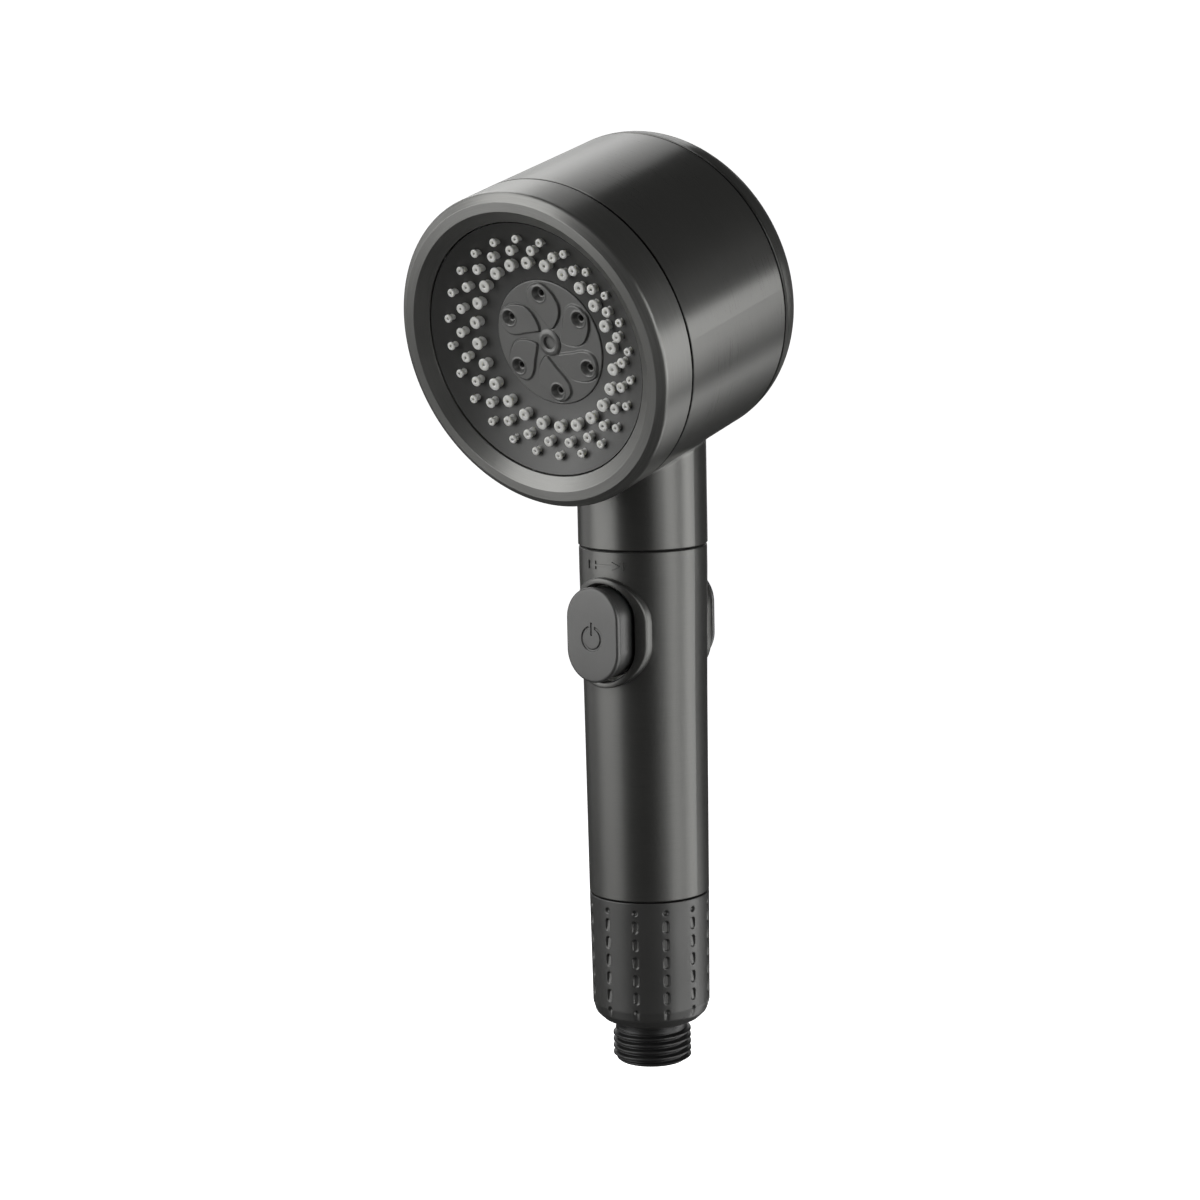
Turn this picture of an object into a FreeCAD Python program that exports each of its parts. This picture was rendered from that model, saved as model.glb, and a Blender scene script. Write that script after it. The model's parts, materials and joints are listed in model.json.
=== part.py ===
import FreeCAD, Part
import math
import os

# Handheld shower head: a deep round head on a round handle, with a rotating spray face,
# a two-sided push valve, a filter in the handle and a G1/2 inlet at the lower end.
#
# Millimetres.  The origin is the centre of the inlet thread's lower end.  +Z runs up the
# handle, the spray face looks towards -Y, and +X is the right-hand side seen from behind.
#
# Head parts are drawn in the head's own frame, whose Z is the spray axis, and then placed
# with in_head().  Heights named in that frame are measured along the spray axis from the
# tips of the inner ring of nozzles, and are mostly negative, because the parts lie behind.

V = FreeCAD.Vector
O = V(0, 0, 0)
X = V(1, 0, 0)
Y = V(0, 1, 0)
Z = V(0, 0, 1)

# ---- clearances and walls -----------------------------------------------------------
SEAM = 0.15                 # half of each visible gap between neighbouring casings
RUN = 0.06                  # radial clearance of a shaft that turns in its hole
SLIDE = 0.10                # radial clearance of the valve spool in its bore
STATIC = 0.10               # gap between pieces that are fixed to each other

# ---- head ---------------------------------------------------------------------------
HEAD_TILT = 15.35           # the spray axis points this far below the horizontal
HEAD_POINT = V(0, -39.57, 194.58)
DRUM_R = 41.5
DRUM_R_REAR = 41.25
DRUM_BORE_R = 39.1
SEAM_FRONT = -6.55          # between the mode ring and the housing
SEAM_REAR = -48.1           # between the housing and the rear cover
COVER_EDGE_R = 12.0         # rounding of the rear cover's edge
COVER_DOME = 0.6
COVER_WALL = 2.4
SHELF_R = 33.5              # inner radius of the shelf that carries the diverter base
SHELF_BACK = -24.0
SHELF_SCREW_R = 35.6

# ---- spray face ---------------------------------------------------------------------
RING_LAND_TOP = 6.05
RING_LAND_R = (36.8, 39.4)
RING_SHOULDER = 4.6         # where the ring's outer chamfer begins
RING_INNER = (33.55, 3.7)   # foot of the ring's inner cone: radius, height
RING_BACK = 0.2             # underside of the ring's rim
SKIRT_R = 38.7
SKIRT_BORE_R = 36.9
SKIRT_BACK = -12.0
DISH = ((16.6, -3.3), (25.5, -0.8), (33.3, 3.4))   # the face's hollow, as an arc
PLATE_WALL = 1.6
MAT_WALL = 1.4
FACE_R = 33.2
NOZZLES_PER_RING = 24
#                ring radius, tip height, tip radius, hole radius, angle of the first
NOZZLE_RINGS = ((21.7, 0.0, 1.65, 0.45, 0.0),
                (25.5, 1.37, 1.35, 0.40, 7.5),
                (28.6, 2.33, 1.10, 0.35, 0.0))
DISC_R = 16.45
DISC_TOP = -3.1
DISC_BACK = -5.2
PETAL_TOP = -2.4
PETALS = 6
JET_R = 12.9                # circle of the six centre jets
HUB_R = 3.6
AXLE_R = 1.6

# ---- diverter -----------------------------------------------------------------------
TURBINE_TOP = -5.7
TURBINE_BACK = -8.8
TURBINE_R = 13.8
CHAMBER_FRONT = -12.6       # base of the spray chamber, front and back
CHAMBER_BACK = -14.6
CHAMBER_R = 36.7
FACE_SCREW_R = 34.5
FACE_SCREW_TIP = 2.6
SELECTOR_FRONT = -14.7
SELECTOR_BACK = -17.2
SELECTOR_R = 32.0
BASE_FRONT = -17.5
BASE_BACK = -21.5
BASE_R = 38.0
POST_R = 4.0
POST_TOP = -12.5
PORT_R = 18.0               # circle of the mode ports
MODE_STEP = 30.0
# Radii of the chambers that each mode feeds: outer rings, centre jets, inner ring.
OUTER_WAY = 28.0
CENTRE_WAY = 10.0
INNER_WAY = 21.0
MODE_WAYS = ((OUTER_WAY,), (CENTRE_WAY,), (INNER_WAY,), (OUTER_WAY, CENTRE_WAY),
             (INNER_WAY, CENTRE_WAY))
WAY_R = 1.8                 # bore of a passage to a chamber
DETENT_R = 1.5              # detent ball
DETENT_CIRCLE = 28.0
CHAMBER_SCREW_R = 29.6      # circles of the screws
CUP_R = 26.0                # water chamber behind the diverter
CUP_WALL = 2.0
CUP_BACK = -44.5
CUP_FLANGE_R = 32.0
CUP_FLANGE_BACK = -24.0

# ---- neck and riser -----------------------------------------------------------------
NECK_R = 17.1
NECK_SEAM = 140.2
NECK_BORE_R = 13.5
NECK_BORE_TOP = 156.0
NECK_TOP = 180.0
NECK_FILLET = 1.2
SPIGOT_R = 14.5
SPIGOT_FOOT = 134.2
RISER_R = 6.2
RISER_BORE_R = 4.6
RISER_FOOT = 140.8
RISER_STEP = 149.5
RISER_TOP = 168.0
NIPPLE_R = 8.0
NIPPLE_FOOT = 157.5

# ---- handle -------------------------------------------------------------------------
HANDLE_SEAM = 46.8
HANDLE_R_FOOT = 16.0
HANDLE_R_MID = 16.4
HANDLE_MID = 102.0
HANDLE_R_TOP = 16.92
HANDLE_SWELL = 134.0
HANDLE_BORE_R = 14.6

# ---- push valve ---------------------------------------------------------------------
VALVE_Z = 118.7
VALVE_BORE_R = 6.5
VALVE_R = 14.4
VALVE_FLAT = 11.0           # half thickness of the valve body between the buttons
VALVE_FOOT = 103.4
VALVE_TOP = 133.6
VALVE_SPIGOT_TOP = 148.0
VALVE_PORT_R = 5.5
PORT_SLOT = (10.0, 2.4)     # across X, along the spool
SPOOL_R = VALVE_BORE_R - SLIDE
WAIST_R = 3.2
WAIST = 2.8
SPOOL_END = (-12.5, 10.5)
SPOOL_PIN_R = 3.4
SPOOL_RINGS = (-8.5, -3.2, 3.2, 7.0)
BUTTON_W = 17.0
BUTTON_H = 25.0
BUTTON_DEPTH = 8.2
BUTTON_LIP = 1.8
BUTTON_STEP = 0.35
BUTTON_WALL = 1.8
BUTTON_FRONT_Y = -22.5
BUTTON_REAR_Y = 20.3
FRAME_W = 23.6
FRAME_H = 29.0
FRAME_R = 18.45
FRAME_OPEN_W = 18.0
FRAME_OPEN_H = 26.0
FRAME_PLUG_W = 21.6
FRAME_PLUG_H = 28.0
MARK_Z = 136.3
MARK_RISE = 0.28            # height of the relief mark above the handle
MARK_HALF = 5.9             # half its width

# ---- filter -------------------------------------------------------------------------
FILTER_R = 11.0
FILTER_BORE_R = 5.0
FILTER_FOOT = 61.0
FILTER_TOP = 99.0
CAP_WALL = 2.2

# ---- inlet end ----------------------------------------------------------------------
INLET_THREAD_R = 20.955 / 2         # G1/2
INLET_ROOT_R = 18.631 / 2
INLET_PITCH = 1.814
INLET_THREAD_TOP = 9.0
INLET_BORE_R = 6.5
INLET_BORE_TOP = 14.0
SLEEVE_R_TOP = 16.0
SLEEVE_R_FOOT = 15.68
SLEEVE_FOOT = 16.2
SLEEVE_BORE_R = 14.0
SLEEVE_COLUMNS = 12
SLEEVE_FIRST = -7.0                 # angle of a column from -Y towards +X
SLEEVE_PILLS = 5
PILL_W = 1.5
PILL_H = 3.3
PILL_PITCH = 4.85
PILL_DEPTH = 0.55
DIMPLE_TOP = 43.9
DIMPLE_FOOT = 16.8
END_BORE_R = 10.9
END_TOP = 58.0
END_PITCH = 3.0
END_ROOT_R = 12.4
END_CREST_R = 13.3
SOCKET_BORE_R = 13.6
SOCKET_CREST_R = 12.7
SOCKET_TOP = 60.0

HEAD_PLACE = FreeCAD.Placement(HEAD_POINT, FreeCAD.Rotation(X, 90 + HEAD_TILT))


# ---- drawing helpers ----------------------------------------------------------------
def outline(start, *steps):
    """Closed wire of (radius, height) points; a step of four numbers is an arc
    through its first pair to its second."""
    edges = []
    here = V(start[0], 0, start[1])
    for step in steps + (start,):
        end = V(step[-2], 0, step[-1])
        if len(step) == 4:
            edges.append(Part.Arc(here, V(step[0], 0, step[1]), end).toShape())
        elif here.distanceToPoint(end) > 1e-6:
            edges.append(Part.LineSegment(here, end).toShape())
        here = end
    return Part.Wire(edges)


def turned(start, *steps):
    """Solid of revolution about Z."""
    return Part.Face(outline(start, *steps)).revolve(O, Z, 360)


def rod(radius, low, high):
    return Part.makeCylinder(radius, high - low, V(0, 0, low))


def tube(outer, inner, low, high):
    return turned((inner, low), (outer, low), (outer, high), (inner, high))


def o_ring(inner, outer, height):
    minor = (outer - inner) / 2
    return Part.makeTorus(inner + minor, minor, V(0, 0, height))


def moved(shape, x=0.0, y=0.0, z=0.0):
    copy = shape.copy()
    copy.translate(V(x, y, z))
    return copy


def around(shape, count, first=0.0, step=None):
    """Copies of a shape turned about Z."""
    step = 360.0 / count if step is None else step
    copies = []
    for index in range(count):
        copy = shape.copy()
        copy.rotate(O, Z, first + index * step)
        copies.append(copy)
    return copies


def along_y(shape):
    """Turn a shape drawn about Z so that its axis is Y, at the valve's height."""
    copy = shape.copy()
    copy.rotate(O, X, -90)
    copy.translate(V(0, 0, VALVE_Z))
    return copy


def in_head(shape):
    copy = shape.copy()
    copy.Placement = HEAD_PLACE.multiply(copy.Placement)
    return copy


def joined(first, *others):
    return first.multiFuse(list(others)).removeSplitter()


def without(shape, *tools):
    return shape.cut(list(tools)) if len(tools) > 1 else shape.cut(tools[0])


def pill(width, height, low, high):
    """Upright round-ended bar about Y, from y = low to y = high, at the valve's height."""
    half = width / 2
    reach = height / 2 - half
    a = V(half, low, -reach)
    b = V(half, low, reach)
    c = V(-half, low, reach)
    d = V(-half, low, -reach)
    wire = Part.Wire([
        Part.LineSegment(a, b).toShape(),
        Part.Arc(b, V(0, low, reach + half), c).toShape(),
        Part.LineSegment(c, d).toShape(),
        Part.Arc(d, V(0, low, -reach - half), a).toShape()])
    return moved(Part.Face(wire).extrude(V(0, high - low, 0)), z=VALVE_Z)


def helix_sweep(radius, pitch, low, high, points):
    """Sweep a closed section of (radius, height) points along a helix about Z."""
    corners = [V(r, 0, h) for r, h in points]
    section = Part.Wire(Part.makePolygon(corners + corners[:1]))
    path = Part.Wire(Part.makeHelix(pitch, high - low, radius))
    return moved(path.makePipeShell([section], True, True), z=low)


def coil_spring(radius, wire, low, high, turns):
    """Round-wire compression spring about Z."""
    path = Part.Wire(Part.makeHelix((high - low - 2 * wire) / turns, high - low - 2 * wire, radius))
    section = Part.Wire(Part.makeCircle(wire, V(radius, 0, 0), Y))
    return moved(path.makePipeShell([section], True, True), z=low + wire)


def screw(shank, head, low, seat, top, drive):
    """Pan-head screw about Z with a hexagonal drive."""
    body = joined(rod(shank, low, seat), rod(head, seat, top))
    socket = Part.Face(Part.Wire(Part.makePolygon(
        [V(drive * math.cos(k * math.pi / 3), drive * math.sin(k * math.pi / 3), top)
         for k in range(7)])))
    return without(body, socket.extrude(V(0, 0, -(top - seat) * 0.6)))


def circle_through(points):
    """Centre and radius of the circle through three (radius, height) points."""
    (ax, ay), (bx, by), (cx, cy) = points
    d = 2 * (ax * (by - cy) + bx * (cy - ay) + cx * (ay - by))
    a = ax * ax + ay * ay
    b = bx * bx + by * by
    c = cx * cx + cy * cy
    x = (a * (by - cy) + b * (cy - ay) + c * (ay - by)) / d
    y = (a * (cx - bx) + b * (ax - cx) + c * (bx - ax)) / d
    return x, y, math.hypot(ax - x, ay - y)


DISH_X, DISH_Y, DISH_R = circle_through(DISH)


def dish_height(radius):
    """Height of the hollow spray face at a radius."""
    return DISH_Y - math.sqrt(DISH_R ** 2 - (radius - DISH_X) ** 2)


def dish_sheet(inner, outer, top, back):
    """Sheet that follows the hollow face, between two offsets along the spray axis."""
    middle = (inner + outer) / 2
    heights = [dish_height(r) for r in (inner, middle, outer)]
    return turned((inner, heights[0] + back),
                  (middle, heights[1] + back, outer, heights[2] + back),
                  (outer, heights[2] + top),
                  (middle, heights[1] + top, inner, heights[0] + top))


def every_nozzle():
    """(x, y, ring) of each nozzle in the head's frame."""
    places = []
    for ring in NOZZLE_RINGS:
        for index in range(NOZZLES_PER_RING):
            angle = math.radians(ring[4] + index * 360.0 / NOZZLES_PER_RING)
            places.append((ring[0] * math.cos(angle), ring[0] * math.sin(angle), ring))
    return places


# ---- head casings -------------------------------------------------------------------
def head_housing():
    front = SEAM_FRONT - SEAM
    rear = SEAM_REAR + SEAM
    drum = in_head(turned((0, rear), (DRUM_R_REAR - 0.3, rear), (DRUM_R_REAR, rear + 0.3),
                          (DRUM_R, front - 0.3), (DRUM_R - 0.3, front), (0, front)))
    neck = turned((0, NECK_SEAM + SEAM), (NECK_R - 0.3, NECK_SEAM + SEAM),
                  (NECK_R, NECK_SEAM + SEAM + 0.3), (NECK_R, NECK_TOP), (0, NECK_TOP))
    body = drum.fuse(neck).removeSplitter()
    corner = [edge for edge in body.Edges
              if NECK_SEAM + 5 < edge.BoundBox.ZMin and edge.BoundBox.ZMax < NECK_TOP
              and edge.BoundBox.XLength > NECK_R and edge.BoundBox.YLength > NECK_R]
    body = body.makeFillet(NECK_FILLET, corner)
    body = body.fuse(rod(SPIGOT_R, SPIGOT_FOOT, NECK_SEAM + 1))
    hollow = in_head(turned((0, rear), (DRUM_BORE_R, rear), (DRUM_BORE_R, SHELF_BACK),
                            (SHELF_R, SHELF_BACK), (SHELF_R, BASE_BACK),
                            (DRUM_BORE_R, BASE_BACK), (DRUM_BORE_R, front), (0, front)))
    bore = rod(NECK_BORE_R, SPIGOT_FOOT, NECK_BORE_TOP)
    passage = rod(NIPPLE_R + 0.4, NECK_BORE_TOP - 1, NECK_TOP)
    groove = tube(SPIGOT_R + 1, SPIGOT_R - 0.75, NECK_SEAM - 3.9, NECK_SEAM - 2.4)
    pilots = [in_head(pilot) for pilot in around(
        moved(rod(1.1, SHELF_BACK, BASE_BACK), x=SHELF_SCREW_R), 4, 45)]
    behind = in_head(rod(DRUM_R + 10, rear - 12, rear))
    return without(body, hollow, behind, bore, passage, groove, *pilots)


def rear_cover():
    edge = SEAM_REAR - SEAM
    turn_r = DRUM_R_REAR - COVER_EDGE_R
    inner = COVER_EDGE_R - COVER_WALL
    slope = math.sqrt(0.5)
    lip_r = DRUM_BORE_R - STATIC
    back = edge - COVER_EDGE_R
    return in_head(turned(
        (0, back - COVER_DOME), (turn_r / 2, back - COVER_DOME * 0.75, turn_r, back),
        (turn_r + COVER_EDGE_R * slope, edge - COVER_EDGE_R * slope, DRUM_R_REAR, edge - 0.3),
        (DRUM_R_REAR - 0.3, edge), (lip_r, edge), (lip_r, edge + 4.2), (lip_r - 1.8, edge + 4.2),
        (lip_r - 1.8, edge), (turn_r + inner, edge - 0.3),
        (turn_r + inner * slope, edge - inner * slope, turn_r, back + COVER_WALL),
        (0, back + COVER_WALL)).cut(
            tube(lip_r + 1, lip_r - 0.85, edge + 1.5, edge + 3.2)))


def rear_cover_seal():
    height = SEAM_REAR - SEAM + 2.35
    return in_head(o_ring(DRUM_BORE_R - STATIC - 0.82, DRUM_BORE_R - 0.02, height))


# ---- diverter and water chamber -----------------------------------------------------
def water_chamber():
    front = BASE_BACK - STATIC
    cup = turned((0, CUP_BACK), (CUP_R - 3, CUP_BACK),
                 (CUP_R - 0.88, CUP_BACK + 0.88, CUP_R, CUP_BACK + 3),
                 (CUP_R, CUP_FLANGE_BACK), (CUP_FLANGE_R, CUP_FLANGE_BACK),
                 (CUP_FLANGE_R, front), (0, front))
    inside = rod(CUP_R - CUP_WALL, CUP_BACK + CUP_WALL, front + 1)
    groove = tube(27.6, CUP_R, front - 1.5, front + 1)
    holes = around(moved(rod(1.3, CUP_FLANGE_BACK - 1, front + 1), x=CHAMBER_SCREW_R), 6, 0)
    body = in_head(cup).fuse(rod(NIPPLE_R, NIPPLE_FOOT, 184))
    socket = rod(RISER_R + STATIC, NIPPLE_FOOT - 1, RISER_TOP + 0.3)
    bore = rod(RISER_BORE_R, RISER_TOP, 190)
    return without(body, in_head(inside), in_head(groove), socket, bore,
                   *[in_head(hole) for hole in holes])


def chamber_seal():
    return in_head(Part.makeTorus(26.8, 0.72, V(0, 0, BASE_BACK - STATIC - 0.77)))


def chamber_screws():
    one = moved(screw(1.2, 2.4, -CUP_FLANGE_BACK - 5.0, -CUP_FLANGE_BACK + 0.02,
                      -CUP_FLANGE_BACK + 1.8, 1.1), x=CHAMBER_SCREW_R)
    one.rotate(O, X, 180)
    return [in_head(copy) for copy in around(one, 6, 0)]


def diverter_base():
    body = joined(rod(BASE_R, BASE_BACK, BASE_FRONT), rod(POST_R, BASE_FRONT - 1, POST_TOP))
    port = moved(rod(3.35, BASE_FRONT - 3.2, BASE_FRONT), y=PORT_R)
    port_way = moved(rod(2.1, BASE_BACK, BASE_FRONT), y=PORT_R)
    detent = moved(rod(DETENT_R + 0.1, BASE_BACK + 0.6, BASE_FRONT), y=-DETENT_CIRCLE)
    pivot = rod(1.5, BASE_BACK, POST_TOP)
    seats = around(moved(joined(rod(1.6, BASE_BACK, BASE_FRONT),
                                rod(2.0, BASE_FRONT - 1.9, BASE_FRONT)), x=SHELF_SCREW_R),
                   4, 45)
    pilots = around(moved(rod(1.25, BASE_BACK, BASE_BACK + 3.0), x=CHAMBER_SCREW_R), 6, 0)
    return in_head(without(body, port, port_way, detent, pivot, *(seats + pilots)))


def diverter_screws():
    one = moved(screw(1.05, 1.9, SHELF_BACK + 0.5, BASE_FRONT - 1.85, BASE_FRONT - 0.1, 0.9),
                x=SHELF_SCREW_R)
    return [in_head(copy) for copy in around(one, 4, 45)]


def port_seal():
    back = BASE_FRONT - 1.6
    return in_head(moved(tube(3.25, 1.9, back, SELECTOR_BACK - 0.06), y=PORT_R))


def port_spring():
    return in_head(moved(coil_spring(2.8, 0.2, BASE_FRONT - 3.15, BASE_FRONT - 1.65, 1.75),
                         y=PORT_R))


def detent_ball():
    return in_head(Part.makeSphere(DETENT_R, V(0, -DETENT_CIRCLE,
                                           SELECTOR_BACK - 0.12 - DETENT_R)))


def detent_spring():
    return in_head(moved(coil_spring(1.1, 0.18, BASE_BACK + 0.65, SELECTOR_BACK - 3.15, 2.0),
                         y=-DETENT_CIRCLE))


# ---- rotating spray face ------------------------------------------------------------
def mode_ring():
    land_in, land_out = RING_LAND_R
    foot_r, foot_top = RING_INNER
    back = SEAM_FRONT + SEAM
    pilots = around(moved(rod(1.12, RING_BACK - 1, FACE_SCREW_TIP + 0.1), x=FACE_SCREW_R), 6, 15)
    return in_head(turned(
        (DRUM_R - 0.3, back), (DRUM_R, back + 0.3), (DRUM_R, RING_SHOULDER - 0.5),
        (DRUM_R - 0.12, RING_SHOULDER, DRUM_R - 0.5, RING_SHOULDER + 0.42),
        (land_out + 0.5, RING_LAND_TOP - 0.3), (land_out, RING_LAND_TOP - 0.06,
                                                land_out - 0.5, RING_LAND_TOP),
        (land_in + 0.4, RING_LAND_TOP), (land_in, RING_LAND_TOP - 0.1,
                                         land_in - 0.4, RING_LAND_TOP - 0.4),
        (foot_r, foot_top), (foot_r, RING_BACK), (SKIRT_BORE_R, RING_BACK),
        (SKIRT_BORE_R, SKIRT_BACK), (SKIRT_R, SKIRT_BACK), (SKIRT_R, back)).cut(pilots))


def face_plate():
    sheet = dish_sheet(DISC_R + STATIC, FACE_R, 0.0, -PLATE_WALL)
    holes = [moved(rod(0.8 * ring[2] + 0.05, ring[1] - 8, ring[1] + 2), x=x, y=y)
             for x, y, ring in every_nozzle()]
    return in_head(sheet.cut(Part.makeCompound(holes)))


def nozzle(ring):
    """One soft nozzle with a flared tip, standing on the hollow face."""
    radius, tip, wide, hole, first = ring
    foot = dish_height(radius) - PLATE_WALL - MAT_WALL / 2
    rise = tip - dish_height(radius)
    return turned((0, foot), (0.8 * wide, foot), (0.8 * wide, tip - rise),
                  (0.7 * wide, tip - 0.55 * rise), (wide, tip - 0.25 * rise),
                  (wide * 0.85, tip), (0, tip))


def nozzle_mat():
    sheet = dish_sheet(DISC_R + STATIC + 0.5, FACE_R, -PLATE_WALL - 0.02, -PLATE_WALL - MAT_WALL)
    nozzles = [moved(nozzle(ring), x=x, y=y) for x, y, ring in every_nozzle()]
    holes = [moved(rod(ring[3], ring[1] - 9, ring[1] + 1), x=x, y=y)
             for x, y, ring in every_nozzle()]
    return in_head(sheet.multiFuse(nozzles).cut(Part.makeCompound(holes)))


def petal():
    """Comma-shaped raised petal around the jet that stands at the top."""
    tail = V(0.9, 3.4, 0)
    crown = V(-0.2, 16.05, 0)
    right = Part.BSplineCurve()
    right.interpolate([tail, V(3.45, 4.7, 0), V(5.45, 8.7, 0), V(3.9, 13.4, 0), crown])
    left = Part.BSplineCurve()
    left.interpolate([crown, V(-3.3, 13.1, 0), V(-2.0, 9.8, 0), V(-0.2, 6.8, 0), tail])
    face = Part.Face(Part.Wire([right.toShape(), left.toShape()]))
    return moved(face.extrude(V(0, 0, PETAL_TOP - DISC_TOP + 0.4)), z=DISC_TOP - 0.4)


def centre_disc():
    body = turned((0, DISC_BACK), (DISC_R, DISC_BACK), (DISC_R, DISC_TOP - 0.3),
                  (DISC_R - 0.3, DISC_TOP), (0, DISC_TOP))
    body = body.multiFuse(around(petal(), PETALS))
    jet = joined(rod(0.55, DISC_BACK - 1, PETAL_TOP),
                 Part.makeCone(1.0, 1.95, 1.3, V(0, 0, PETAL_TOP - 1.3)))
    jets = around(moved(jet, y=JET_R), PETALS)
    hub = rod(HUB_R, DISC_BACK - 1, PETAL_TOP + 1)
    return in_head(without(body, hub, *jets))


def hub_cap():
    return in_head(turned((0, TURBINE_BACK - 0.5), (AXLE_R, TURBINE_BACK - 0.5),
                          (AXLE_R, DISC_BACK), (HUB_R - 0.05, DISC_BACK),
                          (HUB_R - 0.05, PETAL_TOP - 0.4),
                          (HUB_R - 0.6, PETAL_TOP - 0.1, 2.4, PETAL_TOP),
                          (1.7, PETAL_TOP - 0.2), (1.5, PETAL_TOP - 0.9), (0, PETAL_TOP - 0.9)))


def chamber_plate():
    base = tube(CHAMBER_R, POST_R + RUN, CHAMBER_BACK, CHAMBER_FRONT)
    walls = [tube(15.8, 14.6, CHAMBER_FRONT - 0.2, DISC_BACK - 0.02),
             tube(18.4, 17.2, CHAMBER_FRONT - 0.2, dish_height(17.2) - 3.1),
             tube(24.1, 23.1, CHAMBER_FRONT - 0.2, dish_height(23.1) - 3.1),
             tube(33.6, 32.0, CHAMBER_FRONT - 0.2, dish_height(32.0) - 3.1),
             tube(CHAMBER_R, 33.4, CHAMBER_FRONT - 0.2, RING_BACK - 0.06)]
    body = joined(base, *walls)
    ways = []
    for mode, targets in enumerate(MODE_WAYS):
        for target in targets:
            way = moved(rod(WAY_R, CHAMBER_BACK - 1, CHAMBER_FRONT + 1), y=target)
            way.rotate(O, Z, -mode * MODE_STEP)
            ways.append(way)
    screws = around(moved(rod(1.15, CHAMBER_BACK - 1, RING_BACK + 1), x=FACE_SCREW_R), 6, 15)
    groove = tube(CHAMBER_R + 1, CHAMBER_R - 0.95, -4.4, -2.8)
    return in_head(without(body, groove, *(ways + screws)))


def selector_disc():
    body = tube(SELECTOR_R, POST_R + RUN, SELECTOR_BACK, SELECTOR_FRONT)
    cuts = []
    for mode, targets in enumerate(MODE_WAYS):
        tools = [moved(rod(WAY_R, SELECTOR_BACK - 1, SELECTOR_FRONT + 1), y=PORT_R)]
        for target in targets:
            low = min(target, PORT_R)
            tools.append(Part.makeBox(3.2, abs(target - PORT_R), 1.4,
                                      V(-1.6, low, SELECTOR_FRONT - 1.3)))
        tools.append(Part.makeSphere(DETENT_R, V(0, -DETENT_CIRCLE, SELECTOR_BACK - 0.9)))
        for tool in tools:
            tool.rotate(O, Z, -mode * MODE_STEP)
        cuts += tools
    return in_head(without(body, *cuts))


def face_screws():
    one = moved(screw(1.1, 2.1, -FACE_SCREW_TIP, -CHAMBER_BACK + 0.02,
                      -CHAMBER_BACK + 1.6, 1.0), x=FACE_SCREW_R)
    one.rotate(O, X, 180)
    return [in_head(copy) for copy in around(one, 6, 15)]


def face_o_ring():
    return in_head(o_ring(CHAMBER_R - 0.93, SKIRT_BORE_R - 0.02, -3.6))


def retaining_washer():
    return in_head(tube(6.0, 1.65, POST_TOP + 0.02, POST_TOP + 0.8))


def pivot_screw():
    return in_head(screw(1.45, 3.4, BASE_BACK + 0.6, POST_TOP + 0.82, POST_TOP + 2.6, 1.5))


def massage_turbine():
    """Water wheel with a half-moon shutter that uncovers the jets in turn."""
    hub = tube(3.4, AXLE_R + RUN, TURBINE_BACK, TURBINE_TOP)
    rim = tube(TURBINE_R, TURBINE_R - 1.0, TURBINE_BACK + 0.6, TURBINE_TOP)
    shutter = tube(TURBINE_R, 3.0, TURBINE_TOP - 0.9, TURBINE_TOP)
    half = Part.makeBox(40, 20, 6, V(-20, -20, TURBINE_TOP - 3))
    vane = Part.makeBox(TURBINE_R - 3.6, 0.9, 2.2, V(3.0, -0.45, TURBINE_BACK + 0.6))
    vane.rotate(V(3.0, 0, 0), Z, 12)
    return in_head(joined(hub, rim, shutter.cut(half), *around(vane, 8)))


# ---- handle and push valve ----------------------------------------------------------
def mark_prisms():
    """Small relief above the front button: a two-way arrow between two upright bars."""
    line = 0.55
    head = 1.1
    tip = MARK_HALF - 1.0
    prisms = [Part.makeBox(2 * (tip - head), 6.0, line, V(head - tip, -20, MARK_Z - line / 2))]
    for side in (-1, 1):
        point = V(side * tip, -20, MARK_Z)
        foot = side * (tip - 2 * head)
        prisms.append(Part.Face(Part.Wire(Part.makePolygon(
            [point, V(foot, -20, MARK_Z + head), V(foot, -20, MARK_Z - head), point])
        )).extrude(V(0, 6, 0)))
        prisms.append(Part.makeBox(line, 6.0, 2 * head,
                                   V(side * (MARK_HALF - line / 2) - line / 2, -20,
                                     MARK_Z - head)))
    return prisms


def handle_shell():
    foot = HANDLE_SEAM + SEAM
    top = NECK_SEAM - SEAM
    body = turned((SOCKET_BORE_R, foot), (HANDLE_R_FOOT - 0.3, foot), (HANDLE_R_FOOT, foot + 0.3),
                  (HANDLE_R_MID, HANDLE_MID), (HANDLE_R_TOP, HANDLE_SWELL),
                  (HANDLE_R_TOP, top - 0.3), (HANDLE_R_TOP - 0.3, top), (HANDLE_BORE_R, top),
                  (HANDLE_BORE_R, SOCKET_TOP + 1.0), (SOCKET_BORE_R, SOCKET_TOP))
    relief = tube(HANDLE_R_TOP + MARK_RISE, HANDLE_R_TOP - 0.2, MARK_Z - 2, MARK_Z + 2)
    marks = [relief.common(prism) for prism in mark_prisms()]
    ridge = helix_sweep(SOCKET_BORE_R, END_PITCH, 50.2, 58.4,
                        ((SOCKET_BORE_R + 0.3, -0.85), (SOCKET_CREST_R, -0.22),
                         (SOCKET_CREST_R, 0.22), (SOCKET_BORE_R + 0.3, 0.85)))
    windows = [pill(FRAME_PLUG_W + 0.2, FRAME_PLUG_H + 0.2, low, low + 30) for low in (-30, 0)]
    return body.fuse(marks).cut(windows).fuse(ridge)


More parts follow.
